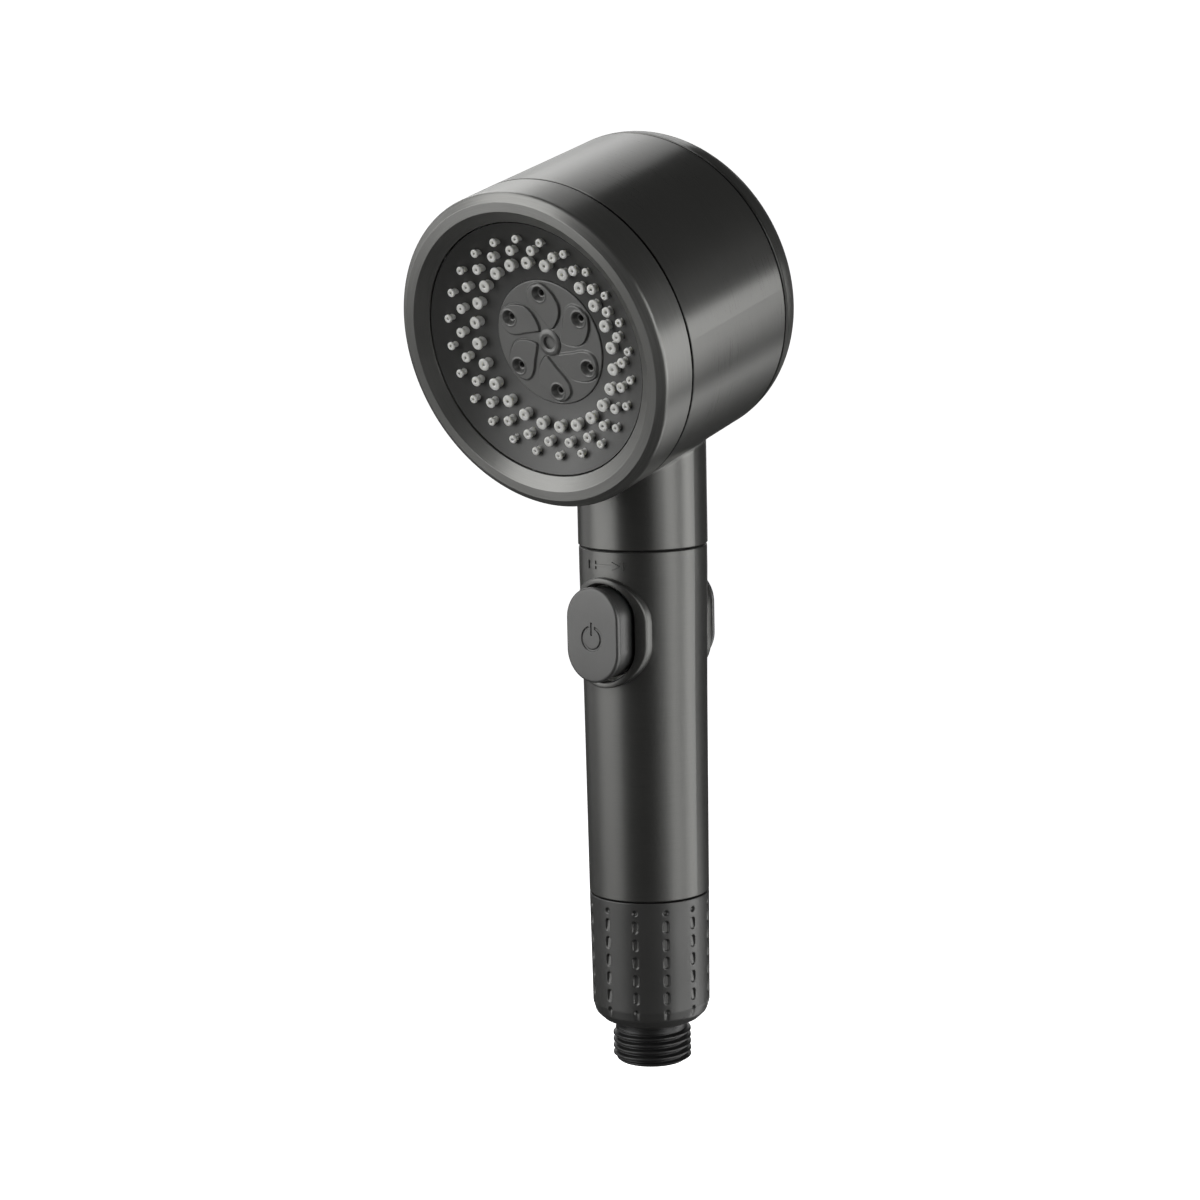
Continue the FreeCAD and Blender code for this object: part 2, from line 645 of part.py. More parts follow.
def button_frame(side):
    """Raised surround of a button, plugged into the handle's window; side is -1 or +1."""
    near, far = sorted((side * 8.0, side * 24.0))
    flange = tube(FRAME_R, HANDLE_R_TOP + 0.02, 90, 150).common(
        pill(FRAME_W, FRAME_H, near, far))
    plug = tube(HANDLE_R_TOP + 0.5, HANDLE_BORE_R + STATIC, 90, 150).common(
        pill(FRAME_PLUG_W, FRAME_PLUG_H, near, far))
    return flange.fuse(plug).cut(pill(FRAME_OPEN_W, FRAME_OPEN_H, near, far)).removeSplitter()


def push_button(face_y, side):
    """Hollow button cap; its face is at face_y and it looks along side."""
    def slab(width, height, start, end):
        low, high = sorted((face_y - side * start, face_y - side * end))
        return pill(width, height, low, high)
    lip = slab(BUTTON_W, BUTTON_H, 0, BUTTON_LIP)
    rim = [edge for edge in lip.Edges
           if abs(edge.BoundBox.YMin - face_y) < 1e-3 and abs(edge.BoundBox.YMax - face_y) < 1e-3]
    lip = lip.makeFillet(0.9, rim)
    skirt = slab(BUTTON_W - 2 * BUTTON_STEP, BUTTON_H - 2 * BUTTON_STEP, BUTTON_LIP - 0.1,
                 BUTTON_DEPTH)
    shrink = 2 * (BUTTON_STEP + BUTTON_WALL)
    hollow = slab(BUTTON_W - shrink, BUTTON_H - shrink, BUTTON_WALL + 0.2, BUTTON_DEPTH + 1)
    low, high = sorted((face_y - side * (BUTTON_WALL + 0.1), face_y - side * BUTTON_DEPTH))
    boss = along_y(tube(5.2, SPOOL_PIN_R + 0.03, low, high))
    return lip.fuse(skirt).cut(hollow).fuse(boss).removeSplitter()


def front_button():
    """Front button with an engraved on-off sign: a broken ring and a bar."""
    sign_y = BUTTON_FRONT_Y - 1.0
    depth = 1.28
    ring = along_y(tube(2.75, 2.2, sign_y, sign_y + depth))
    gap = Part.makeBox(1.9, 4, 4, V(-0.95, sign_y - 1, VALVE_Z + 0.8))
    bar = Part.makeBox(0.55, depth, 2.9, V(-0.275, sign_y, VALVE_Z + 0.5))
    return push_button(BUTTON_FRONT_Y, -1).cut([ring.cut(gap), bar])


def valve_body():
    drum = rod(VALVE_R, VALVE_FOOT, VALVE_TOP)
    flats = []
    low = VALVE_Z - FRAME_OPEN_H / 2 - 0.6
    for start in (VALVE_FLAT, -VALVE_FLAT - 20):
        flats.append(Part.makeBox(40, 20, FRAME_OPEN_H + 1.2, V(-20, start, low)))
    spigot = rod(7.6, VALVE_TOP - 1, VALVE_SPIGOT_TOP)
    cross = along_y(rod(VALVE_BORE_R, -VALVE_R - 1, VALVE_R + 1))
    wide, thin = PORT_SLOT
    slot = Part.makeBox(wide, thin, 20, V(-wide / 2, -thin / 2, VALVE_Z - 10))
    lower = rod(VALVE_PORT_R, VALVE_FOOT - 1, VALVE_Z - 9)
    upper = rod(VALVE_PORT_R, VALVE_Z + 9, VALVE_SPIGOT_TOP + 1)
    groove = tube(8.6, 6.7, 143.2, 144.6)
    body = drum.cut(flats).fuse(spigot)
    return without(body, cross, slot, lower, upper, groove)


def valve_spool():
    low, high = SPOOL_END
    body = joined(rod(SPOOL_PIN_R, BUTTON_FRONT_Y + BUTTON_WALL + 0.3, low + 0.5),
                  rod(SPOOL_R, low, high),
                  rod(SPOOL_PIN_R, high - 0.5, BUTTON_REAR_Y - BUTTON_WALL - 0.3))
    waist = tube(SPOOL_R + 1, WAIST_R, -WAIST / 2, WAIST / 2)
    grooves = [tube(SPOOL_R + 1, SPOOL_R - 0.95, y - 0.55, y + 0.55) for y in SPOOL_RINGS]
    return along_y(without(body, waist, *grooves))


def spool_o_rings():
    return [along_y(o_ring(SPOOL_R - 0.92, SPOOL_R + 0.02, y)) for y in SPOOL_RINGS]


def riser_tube():
    return turned((7.7, RISER_FOOT), (9.6, RISER_FOOT), (9.6, RISER_STEP + 1.5),
                  (RISER_R, RISER_STEP + 3.0), (RISER_R, 163.2), (RISER_R - 0.85, 163.2),
                  (RISER_R - 0.85, 164.6), (RISER_R, 164.6), (RISER_R, RISER_TOP),
                  (RISER_BORE_R, RISER_TOP), (RISER_BORE_R, RISER_STEP), (7.7, RISER_STEP - 1.0))


def riser_o_rings():
    return [o_ring(6.72, 7.68, 143.9), o_ring(RISER_R - 0.83, RISER_R + 0.08, 163.9)]


def neck_o_ring():
    return o_ring(SPIGOT_R - 0.73, HANDLE_BORE_R - 0.02, NECK_SEAM - 3.15)


# ---- filter and inlet end -----------------------------------------------------------
def filter_element():
    return tube(FILTER_R, FILTER_BORE_R, FILTER_FOOT, FILTER_TOP)


def filter_top_cap():
    body = turned((0, FILTER_TOP + 0.02), (FILTER_R + 0.6, FILTER_TOP + 0.02),
                  (FILTER_R + 0.6, FILTER_TOP + CAP_WALL), (VALVE_PORT_R - SLIDE,
                                                           FILTER_TOP + CAP_WALL),
                  (VALVE_PORT_R - SLIDE, VALVE_FOOT + 4.5), (0, VALVE_FOOT + 4.5))
    return body.cut(rod(3.8, FILTER_TOP - 1, VALVE_FOOT + 6))


def filter_bottom_cap():
    body = rod(END_ROOT_R - 0.15, END_TOP + 0.06, FILTER_FOOT - 0.02)
    holes = around(moved(rod(1.2, END_TOP - 1, FILTER_FOOT + 1), x=8.4), 8)
    return without(body, *holes)


def grip_sleeve():
    top = HANDLE_SEAM - SEAM
    body = turned((9.7, 10.1), (10.6, 10.1), (13.3, 12.3), (15.0, 13.9, SLEEVE_R_FOOT, SLEEVE_FOOT),
                  (SLEEVE_R_TOP, top - 0.3), (SLEEVE_R_TOP - 0.3, top), (SLEEVE_BORE_R, top),
                  (SLEEVE_BORE_R, 15.5), (12.2, 13.2), (9.7, 13.2))
    return body.cut(Part.makeCompound(grip_recesses()))


def grip_recesses():
    """Upright rows of short slots, each row ending in a round dimple above and below."""
    middle = (DIMPLE_TOP + DIMPLE_FOOT) / 2
    inside = SLEEVE_R_FOOT - PILL_DEPTH
    row = []
    for index in range(SLEEVE_PILLS):
        height = middle + (index - (SLEEVE_PILLS - 1) / 2) * PILL_PITCH
        row.append(moved(pill(PILL_W, PILL_H, -SLEEVE_R_TOP - 2, -inside), z=height - VALVE_Z))
    for height in (DIMPLE_FOOT, DIMPLE_TOP):
        row.append(Part.makeCylinder(PILL_W / 2, 3, V(0, -inside, height), V(0, -1, 0)))
    recesses = []
    for shape in row:
        recesses += around(shape, SLEEVE_COLUMNS, SLEEVE_FIRST)
    return recesses


def inlet_fitting():
    """Inlet stub with the G1/2 thread below and the screw that holds it in the handle above."""
    shank = INLET_ROOT_R + 0.05
    body = turned((INLET_BORE_R, 0), (shank - 0.6, 0), (shank, 0.6), (shank, 10.4),
                  (9.5, 10.8), (9.5, 13.4), (12.0, 13.4), (SLEEVE_BORE_R - STATIC, 15.7),
                  (SLEEVE_BORE_R - STATIC, HANDLE_SEAM - SEAM), (END_ROOT_R + 0.5, HANDLE_SEAM),
                  (END_ROOT_R, HANDLE_SEAM + 0.2), (END_ROOT_R, 47.4), (END_ROOT_R - 0.3, 47.4),
                  (END_ROOT_R - 0.3, 48.9), (END_ROOT_R, 48.9), (END_ROOT_R, END_TOP),
                  (END_BORE_R, END_TOP), (END_BORE_R, 17.0), (INLET_BORE_R, INLET_BORE_TOP))
    half = INLET_PITCH / 2
    lower = helix_sweep(shank, INLET_PITCH, -half, INLET_THREAD_TOP,
                        ((shank - 0.15, -half * 0.9), (INLET_THREAD_R, -0.12),
                         (INLET_THREAD_R, 0.12), (shank - 0.15, half * 0.9)))
    lead_in = turned((0, -5), (20, -5), (20, 1.1), (INLET_THREAD_R + 0.2, 1.1),
                     (shank - 0.6, 0), (0, 0))
    upper = helix_sweep(END_ROOT_R, END_PITCH, 51.7, 57.0,
                        ((END_ROOT_R - 0.3, -0.95), (END_CREST_R, -0.25),
                         (END_CREST_R, 0.25), (END_ROOT_R - 0.3, 0.95)))
    return body.fuse(lower).cut(lead_in).fuse(upper)


def end_o_ring():
    return o_ring(END_ROOT_R - 0.28, SOCKET_BORE_R - 0.08, 48.15)


def inlet_screen():
    """Strainer: a thin disc with rows of small holes."""
    disc = rod(END_BORE_R - STATIC, 17.02, 17.82)
    holes = []
    for circle, count in ((2.2, 6), (4.4, 12), (6.4, 18), (8.6, 24)):
        holes += around(moved(rod(0.7, 16.5, 18.5), x=circle), count)
    return without(disc, *holes)


PARTS = {
    "head_housing": head_housing,
    "rear_cover": rear_cover,
    "rear_cover_seal": rear_cover_seal,
    "water_chamber": water_chamber,
    "chamber_seal": chamber_seal,
    "chamber_screws": chamber_screws,
    "diverter_base": diverter_base,
    "diverter_screws": diverter_screws,
    "port_seal": port_seal,
    "port_spring": port_spring,
    "detent_ball": detent_ball,
    "detent_spring": detent_spring,
    "mode_ring": mode_ring,
    "face_plate": face_plate,
    "nozzle_mat": nozzle_mat,
    "centre_disc": centre_disc,
    "hub_cap": hub_cap,
    "chamber_plate": chamber_plate,
    "selector_disc": selector_disc,
    "face_screws": face_screws,
    "face_o_ring": face_o_ring,
    "retaining_washer": retaining_washer,
    "pivot_screw": pivot_screw,
    "massage_turbine": massage_turbine,
    "handle_shell": handle_shell,
    "front_button_frame": lambda: button_frame(-1),
    "rear_button_frame": lambda: button_frame(1),
    "front_button": front_button,
    "rear_button": lambda: push_button(BUTTON_REAR_Y, 1),
    "valve_body": valve_body,
    "valve_spool": valve_spool,
    "spool_o_rings": spool_o_rings,
    "riser_tube": riser_tube,
    "riser_o_rings": riser_o_rings,
    "neck_o_ring": neck_o_ring,
    "filter_element": filter_element,
    "filter_top_cap": filter_top_cap,
    "filter_bottom_cap": filter_bottom_cap,
    "grip_sleeve": grip_sleeve,
    "inlet_fitting": inlet_fitting,
    "end_o_ring": end_o_ring,
    "inlet_screen": inlet_screen,
}

os.makedirs("parts", exist_ok=True)
for name, make in PARTS.items():
    made = make()
    shape = Part.makeCompound(made) if isinstance(made, list) else made
    shape.exportStep("parts/" + name + ".step")
    box = shape.BoundBox
    print("%-20s solids %3d valid %s volume %9.1f  z %.1f to %.1f" % (
        name, len(shape.Solids), shape.isValid(), shape.Volume, box.ZMin, box.ZMax))
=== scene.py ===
import json
import math

import bpy
import numpy as np
from mathutils import Matrix, Vector


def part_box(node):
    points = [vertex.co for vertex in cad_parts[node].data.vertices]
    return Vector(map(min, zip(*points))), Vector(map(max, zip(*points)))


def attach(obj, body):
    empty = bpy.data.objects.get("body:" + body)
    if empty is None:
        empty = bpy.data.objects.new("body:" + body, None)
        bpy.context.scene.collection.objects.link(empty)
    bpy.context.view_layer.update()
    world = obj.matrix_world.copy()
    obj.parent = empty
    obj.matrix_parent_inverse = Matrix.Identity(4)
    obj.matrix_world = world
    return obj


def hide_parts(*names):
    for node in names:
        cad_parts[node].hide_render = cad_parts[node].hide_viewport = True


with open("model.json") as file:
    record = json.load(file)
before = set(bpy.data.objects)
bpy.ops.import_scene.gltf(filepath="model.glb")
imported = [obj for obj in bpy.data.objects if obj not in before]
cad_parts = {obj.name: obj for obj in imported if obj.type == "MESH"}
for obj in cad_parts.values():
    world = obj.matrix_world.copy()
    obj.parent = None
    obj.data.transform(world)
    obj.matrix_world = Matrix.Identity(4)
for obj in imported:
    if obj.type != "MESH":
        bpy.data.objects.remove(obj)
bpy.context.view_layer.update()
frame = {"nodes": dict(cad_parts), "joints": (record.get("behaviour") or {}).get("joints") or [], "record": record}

# A handheld shower head: casings and inner pieces are the CAD nodes with better materials.
# The mode ring, nozzles, petal disc, buttons, button surrounds, grip sleeve and threaded
# inlet are finer meshes that stand for their CAD nodes.  Everything is in metres; MM turns
# millimetres into metres where a small detail is easier to read that way.

MM = 0.001
NODES = frame["nodes"]
JOINTS = {joint["name"]: joint for joint in frame["joints"]}


# ---- the two frames that pieces are drawn in ----------------------------------------
def head_matrix():
    """The head's own frame: Z is the spray axis, X stays X, and Y leans back and up."""
    turn = JOINTS["mode_turn"]
    z = Vector(turn["axis"]).normalized()
    x = Vector((1, 0, 0))
    y = z.cross(x).normalized()
    place = Matrix((x, y, z)).transposed().to_4x4()
    place.translation = Vector(turn["pos_m"])
    return place


HEAD = head_matrix()
HANDLE = Matrix.Identity(4)


def reach(node, matrix):
    """Largest radius, lowest and highest point of a CAD node about a frame's Z axis."""
    inverse = np.array(matrix.inverted())
    mesh = NODES[node].data
    points = np.empty(len(mesh.vertices) * 3)
    mesh.vertices.foreach_get("co", points)
    points = points.reshape(-1, 3) @ inverse[:3, :3].T + inverse[:3, 3]
    return np.hypot(points[:, 0], points[:, 1]).max(), points[:, 2].min(), points[:, 2].max()


RING_R, RING_BACK, RING_TOP = reach("mode_ring", HEAD)
DISC_R, DISC_BACK, DISC_TOP = reach("centre_disc", HEAD)
HOUSING_FRONT = reach("head_housing", HEAD)[2]
COVER_R, COVER_BACK, COVER_TOP = reach("rear_cover", HEAD)
HANDLE_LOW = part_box("handle_shell")[0].z
SLEEVE_LOW, SLEEVE_HIGH = (corner.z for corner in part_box("grip_sleeve"))
VALVE_Z = sum(corner.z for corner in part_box("front_button")) / 2
FRONT_FACE_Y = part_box("front_button")[0].y
REAR_FACE_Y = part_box("rear_button")[1].y


# ---- mesh helpers -------------------------------------------------------------------
def make_object(name, points, faces, matrix=HANDLE):
    """Smooth-shaded mesh object whose points are given in the frame of its matrix."""
    mesh = bpy.data.meshes.new(name)
    mesh.from_pydata([tuple(p) for p in points], [], faces)
    mesh.validate()
    mesh.update()
    mesh.polygons.foreach_set("use_smooth", [True] * len(mesh.polygons))
    piece = bpy.data.objects.new(name, mesh)
    piece.matrix_world = matrix
    bpy.context.scene.collection.objects.link(piece)
    return piece


def grid_faces(rows, columns, wrap_rows=False, first=0):
    """Quads of a grid whose columns close on themselves."""
    row = np.arange(rows if wrap_rows else rows - 1)
    column = np.arange(columns)
    r, c = np.meshgrid(row, column, indexing="ij")
    a = r * columns + c
    b = r * columns + (c + 1) % columns
    d = ((r + 1) % rows) * columns + c
    e = ((r + 1) % rows) * columns + (c + 1) % columns
    return (np.stack([a, b, e, d], axis=-1).reshape(-1, 4) + first).tolist()


def rounded(corners, steps=6, hold=0.06 * MM):
    """Closed outline of (radius, height, rounding) corners as points; each rounding is an
    arc, with a point just before and after it that keeps the flats flat."""
    points = []
    count = len(corners)
    for index, (r, h, size) in enumerate(corners):
        here = Vector((r, h))
        before = Vector(corners[index - 1][:2])
        after = Vector(corners[(index + 1) % count][:2])
        to_before = (before - here).normalized()
        to_after = (after - here).normalized()
        half = to_before.angle(to_after) / 2
        if size <= 0 or half > math.pi / 2 - 0.01:
            points.append(here)
            continue
        back = size / math.tan(half)
        start = here + to_before * back
        end = here + to_after * back
        centre = here + (to_before + to_after).normalized() * (size / math.sin(half))
        points.append(start + to_before * hold)
        a = start - centre
        b = end - centre
        sweep = a.angle_signed(b)
        for step in range(steps + 1):
            angle = -sweep * step / steps
            points.append(centre + Vector((a.x * math.cos(angle) - a.y * math.sin(angle),
                                           a.x * math.sin(angle) + a.y * math.cos(angle))))
        points.append(end + to_after * hold)
    return points


def lathe(name, outline, segments=256, matrix=HANDLE):
    """Closed solid of revolution of an outline of (radius, height) points."""
    profile = np.array([tuple(p) for p in outline])
    angle = np.linspace(0, 2 * math.pi, segments, endpoint=False)
    x = profile[:, :1] * np.cos(angle)
    y = profile[:, :1] * np.sin(angle)
    z = np.repeat(profile[:, 1:], segments, axis=1)
    points = np.stack([x, y, z], axis=-1).reshape(-1, 3)
    faces = grid_faces(len(profile), segments, wrap_rows=True)
    return make_object(name, points, faces, matrix)


def rows_object(name, rows, matrix=HANDLE, cap_first=False, cap_last=False, wrap=False):
    """Skin over rows of points, each row closing on itself."""
    columns = len(rows[0])
    points = np.concatenate([np.asarray(row) for row in rows])
    faces = grid_faces(len(rows), columns, wrap_rows=wrap)
    if cap_first:
        faces.append(list(range(columns))[::-1])
    if cap_last:
        start = (len(rows) - 1) * columns
        faces.append(list(range(start, start + columns)))
    return make_object(name, points, faces, matrix)


def smoothstep(low, high, value):
    t = np.clip((value - low) / (high - low), 0, 1)
    return t * t * (3 - 2 * t)


def distance_to_line(x, y, line):
    """Distance of each point to a line of joined points."""
    best = np.full(np.shape(x), np.inf)
    for (ax, ay), (bx, by) in zip(line[:-1], line[1:]):
        dx, dy = bx - ax, by - ay
        t = np.clip(((x - ax) * dx + (y - ay) * dy) / (dx * dx + dy * dy), 0, 1)
        best = np.minimum(best, np.hypot(x - ax - t * dx, y - ay - t * dy))
    return best


def inside_outline(x, y, line):
    """Whether each point is inside a closed line."""
    inside = np.zeros(np.shape(x), bool)
    for (ax, ay), (bx, by) in zip(line, line[1:] + line[:1]):
        crosses = (ay > y) != (by > y)
        slope = (bx - ax) / (by - ay) if by != ay else 0.0
        inside ^= crosses & (x < ax + (y - ay) * slope)
    return inside


def curve_points(points, steps=10):
    """Catmull-Rom curve through points."""
    ends = [tuple(2 * np.array(points[0]) - np.array(points[1]))]
    tail = [tuple(2 * np.array(points[-1]) - np.array(points[-2]))]
    p = [np.array(q, float) for q in ends + list(points) + tail]
    line = []
    for i in range(1, len(p) - 2):
        for step in range(steps):
            t = step / steps
            line.append(tuple(0.5 * (2 * p[i] + (p[i + 1] - p[i - 1]) * t
                                     + (2 * p[i - 1] - 5 * p[i] + 4 * p[i + 1] - p[i + 2]) * t ** 2
                                     + (3 * p[i] - p[i - 1] - 3 * p[i + 1] + p[i + 2]) * t ** 3)))
    line.append(tuple(p[-2]))
    return line


# ---- material helpers ---------------------------------------------------------------
class Shader:
    """A material and short ways to add nodes to it."""

    def __init__(self, name):
        self.material = bpy.data.materials.new(name)
        self.material.use_nodes = True
        self.nodes = self.material.node_tree.nodes
        self.links = self.material.node_tree.links
        self.shader = self.nodes["Principled BSDF"]

    def add(self, kind, settings=None, **inputs):
        node = self.nodes.new("ShaderNode" + kind)
        for key, value in (settings or {}).items():
            setattr(node, key, value)
        for key, value in inputs.items():
            self.put(node, key.replace("_", " "), value)
        return node

    def put(self, node, key, value):
        socket = node.inputs[int(key)] if key.isdigit() else node.inputs[key]
        if isinstance(value, bpy.types.NodeSocket):
            self.links.new(value, socket)
        else:
            socket.default_value = value

    def set(self, **inputs):
        for key, value in inputs.items():
            self.put(self.shader, key.replace("_", " "), value)

    def math(self, operation, a, b=0.0):
        node = self.add("Math", {"operation": operation})
        self.put(node, "0", a)
        self.put(node, "1", b)
        return node.outputs[0]

    def spread(self, value, low, high, to_low, to_high):
        node = self.add("MapRange", Value=value)
        for key, number in (("From Min", low), ("From Max", high),
                            ("To Min", to_low), ("To Max", to_high)):
            self.put(node, key, number)
        return node.outputs["Result"]

    def tint(self, factor, dark, light):
        node = self.add("ValToRGB")
        node.color_ramp.elements[0].color = (*dark, 1)
        node.color_ramp.elements[1].color = (*light, 1)
        self.put(node, "Fac", factor)
        return node.outputs["Color"]

    def noise(self, vector, scale, detail=2.0, roughness=0.5):
        node = self.add("TexNoise", Vector=vector, Scale=scale, Detail=detail,
                        Roughness=roughness)
        return node.outputs["Fac"]

    def bump(self, height, distance):
        node = self.add("Bump", Height=height, Distance=distance, Strength=1.0)
        return node.outputs["Normal"]


def axis_place(shader, about_head):
    """Object coordinates turned into a frame whose Z is the piece's own axis."""
    place = shader.add("TexCoord").outputs["Object"]
    if not about_head:
        return place
    tilt = HEAD.to_euler()
    node = shader.add("Mapping", {"vector_type": "TEXTURE"}, Vector=place)
    node.inputs["Location"].default_value = HEAD.translation
    node.inputs["Rotation"].default_value = tilt
    return node.outputs["Vector"]


def streaks(shader, place, fine, along=3.0):
    """Noise drawn out round the axis: fine lines per metre across, a few along the turn."""
    parts = shader.add("SeparateXYZ", Vector=place)
    x, y, z = parts.outputs
    radius = shader.math("SQRT", shader.math("ADD", shader.math("MULTIPLY", x, x),
                                             shader.math("MULTIPLY", y, y)))
    safe = shader.math("MAXIMUM", radius, 0.0005)
    across = shader.math("MULTIPLY", shader.math("ADD", radius, z), fine)
    line = shader.add("CombineXYZ")
    shader.put(line, "X", shader.math("MULTIPLY", shader.math("DIVIDE", x, safe), along))
    shader.put(line, "Y", shader.math("MULTIPLY", shader.math("DIVIDE", y, safe), along))
    shader.put(line, "Z", across)
    return shader.noise(line.outputs[0], 1.0, 3.0, 0.6)


def tangent_about(shader, place, axis, origin):
    """World direction round an axis, for brushed metal on a CAD node."""
    offset = shader.add("VectorMath", {"operation": "SUBTRACT"})
    shader.put(offset, "0", place)
    shader.put(offset, "1", origin)
    cross = shader.add("VectorMath", {"operation": "CROSS_PRODUCT"})
    shader.put(cross, "0", axis)
    shader.put(cross, "1", offset.outputs[0])
    world = shader.add("VectorTransform", {"vector_type": "VECTOR", "convert_from": "OBJECT",
                                           "convert_to": "WORLD"})
    shader.put(world, "Vector", cross.outputs[0])
    unit = shader.add("VectorMath", {"operation": "NORMALIZE"})
    shader.put(unit, "0", world.outputs[0])
    return unit.outputs[0]


def mix_vector(shader, factor, a, b):
    node = shader.add("Mix", {"data_type": "VECTOR"})
    shader.put(node, "0", factor)
    shader.put(node, "4", a)
    shader.put(node, "5", b)
    return node.outputs[1]


WARM = 0.96                 # blue share of the slightly warm grey
NECK_FROM = 41.6 * MM       # distance from the head's axis where drum turns to neck
NECK_TO = 42.8 * MM
SHADOW_FROM = 0.22 * MM     # how far behind the drum's front edge its painted seam shadow starts
SHADOW_TO = 0.12 * MM


def gunmetal(name, shade, roughness, brushed, lines_per_metre, local=False,
             line_depth=0.004 * MM, neck_shade=None):
    """Coated gunmetal with fine lines round its axis, soft cloudiness and a slight grain.

    With a neck shade it is the head's finish, which becomes the handle's below the drum, and it carries a painted
    shadow just behind the drum's front edge."""
    s = Shader(name)
    world = s.add("TexCoord").outputs["Object"]
    place = axis_place(s, neck_shade is not None)
    lines = streaks(s, place, lines_per_metre)
    cloud = s.noise(world, 45.0, 3.0)
    grain = s.noise(world, 9000.0, 2.0)
    mixed = s.math("ADD", s.math("MULTIPLY", lines, 0.7), s.math("MULTIPLY", cloud, 0.3))
    even = s.spread(mixed, 0.3, 0.7, 0, 1)

    def tint(low, high):
        return s.tint(even, (low, low, low * WARM), (high, high, high * WARM))

    colour = tint(*shade)
    if local:
        tangent = s.add("Tangent", {"direction_type": "RADIAL", "axis": "Z"}).outputs[0]
    else:
        tangent = tangent_about(s, world, Vector((0, 0, 1)), Vector((0, 0, 0)))
    if neck_shade is not None:
        from_axis = s.add("VectorMath", {"operation": "LENGTH"})
        flat = s.add("VectorMath", {"operation": "MULTIPLY"})
        s.put(flat, "0", place)
        s.put(flat, "1", (1.0, 1.0, 0.0))
        s.put(from_axis, "0", flat.outputs[0])
        neck = s.spread(from_axis.outputs["Value"], NECK_FROM, NECK_TO, 0.0, 1.0)
        mix = s.add("Mix", {"data_type": "RGBA"})
        s.put(mix, "0", neck)
        s.put(mix, "6", colour)
        s.put(mix, "7", tint(*neck_shade))
        colour = mix.outputs[2]
        # Painted shadow: just behind the drum's front edge the colour turns near black, standing in for the shade
        # in the seam to the mode ring.
        front_edge = s.add("SeparateXYZ", Vector=place).outputs["Z"]
        shadow = s.add("Mix", {"data_type": "RGBA"})
        s.put(shadow, "0", s.spread(front_edge, HOUSING_FRONT - SHADOW_FROM,
                                    HOUSING_FRONT - SHADOW_TO, 0.0, 1.0))
        s.put(shadow, "6", colour)
        s.put(shadow, "7", (0.004, 0.004, 0.004, 1.0))
        colour = shadow.outputs[2]
        brushed = s.spread(neck, 0, 1, brushed, 0.3)
        softer = s.spread(neck, 0, 1, 0.0, 0.05)
        axis = Vector(JOINTS["mode_turn"]["axis"])
        tangent = mix_vector(s, neck, tangent_about(s, world, axis, HEAD.translation), tangent)
    rough = s.spread(mixed, 0.3, 0.7, roughness - 0.035, roughness + 0.035)
    if neck_shade is not None:
        rough = s.math("ADD", rough, softer)
    s.set(Base_Color=colour, Metallic=0.85, Anisotropic=brushed, Anisotropic_Rotation=0.25,
          Roughness=rough,
          Normal=s.bump(s.math("ADD", lines, s.math("MULTIPLY", grain, 0.25)), line_depth),
          Tangent=tangent)
    return s.material


def moulded(name, dark, light, roughness, metallic=0.0, about_head=False):
    """Moulded plastic with a spark-eroded grain and faint flow marks."""
    s = Shader(name)
    place = axis_place(s, about_head)
    fine = s.noise(place, 7000.0, 3.0, 0.6)
    flow = s.noise(place, 60.0, 2.0)
    s.set(Base_Color=s.tint(s.spread(flow, 0.3, 0.7, 0, 1), dark, light),
          Roughness=s.spread(fine, 0.3, 0.7, roughness - 0.04, roughness + 0.04),
          Metallic=metallic, Coat_Weight=0.0, Coat_Roughness=0.25,
          Normal=s.bump(fine, 0.006 * MM))
    return s.material


def silicone(name):
    """Milky grey rubber that lets some light through."""
    s = Shader(name)
    place = axis_place(s, False)
    fine = s.noise(place, 3000.0, 2.0)
    cloud = s.noise(place, 200.0, 2.0)
    s.set(Base_Color=s.tint(cloud, (0.56, 0.56, 0.54), (0.66, 0.66, 0.635)),
          Roughness=s.spread(fine, 0.3, 0.7, 0.30, 0.42), Subsurface_Weight=0.7,
          Subsurface_Radius=(1.2 * MM, 1.2 * MM, 1.1 * MM), Subsurface_Scale=1.0,
          Normal=s.bump(fine, 0.01 * MM))
    return s.material


def rubber(name):
    """Dull black rubber for the o-rings and flat seals."""
    s = Shader(name)
    place = axis_place(s, False)
    fine = s.noise(place, 4000.0, 3.0)
    s.set(Base_Color=s.tint(fine, (0.012, 0.012, 0.012), (0.024, 0.024, 0.024)),
          Roughness=s.spread(fine, 0.3, 0.7, 0.5, 0.65), Normal=s.bump(fine, 0.01 * MM))
    return s.material


def steel(name):
    """Bright stainless steel for screws, springs and the ball."""
    s = Shader(name)
    place = axis_place(s, False)
    lines = s.noise(place, 2500.0, 3.0)
    s.set(Base_Color=s.tint(lines, (0.48, 0.47, 0.46), (0.62, 0.61, 0.60)), Metallic=1.0,
          Roughness=s.spread(lines, 0.3, 0.7, 0.22, 0.36), Normal=s.bump(lines, 0.002 * MM))
    return s.material


def felt(name):
    """Pressed fibre of the filter."""
    s = Shader(name)
    place = axis_place(s, False)
    fibre = s.add("TexWave", {"wave_type": "BANDS", "bands_direction": "DIAGONAL"},
                  Vector=place, Scale=700.0, Distortion=9.0, Detail=3.0).outputs["Fac"]
    s.set(Base_Color=s.tint(fibre, (0.62, 0.62, 0.58), (0.80, 0.80, 0.77)), Roughness=0.9,
          Sheen_Weight=0.3, Normal=s.bump(fibre, 0.15 * MM))
    return s.material


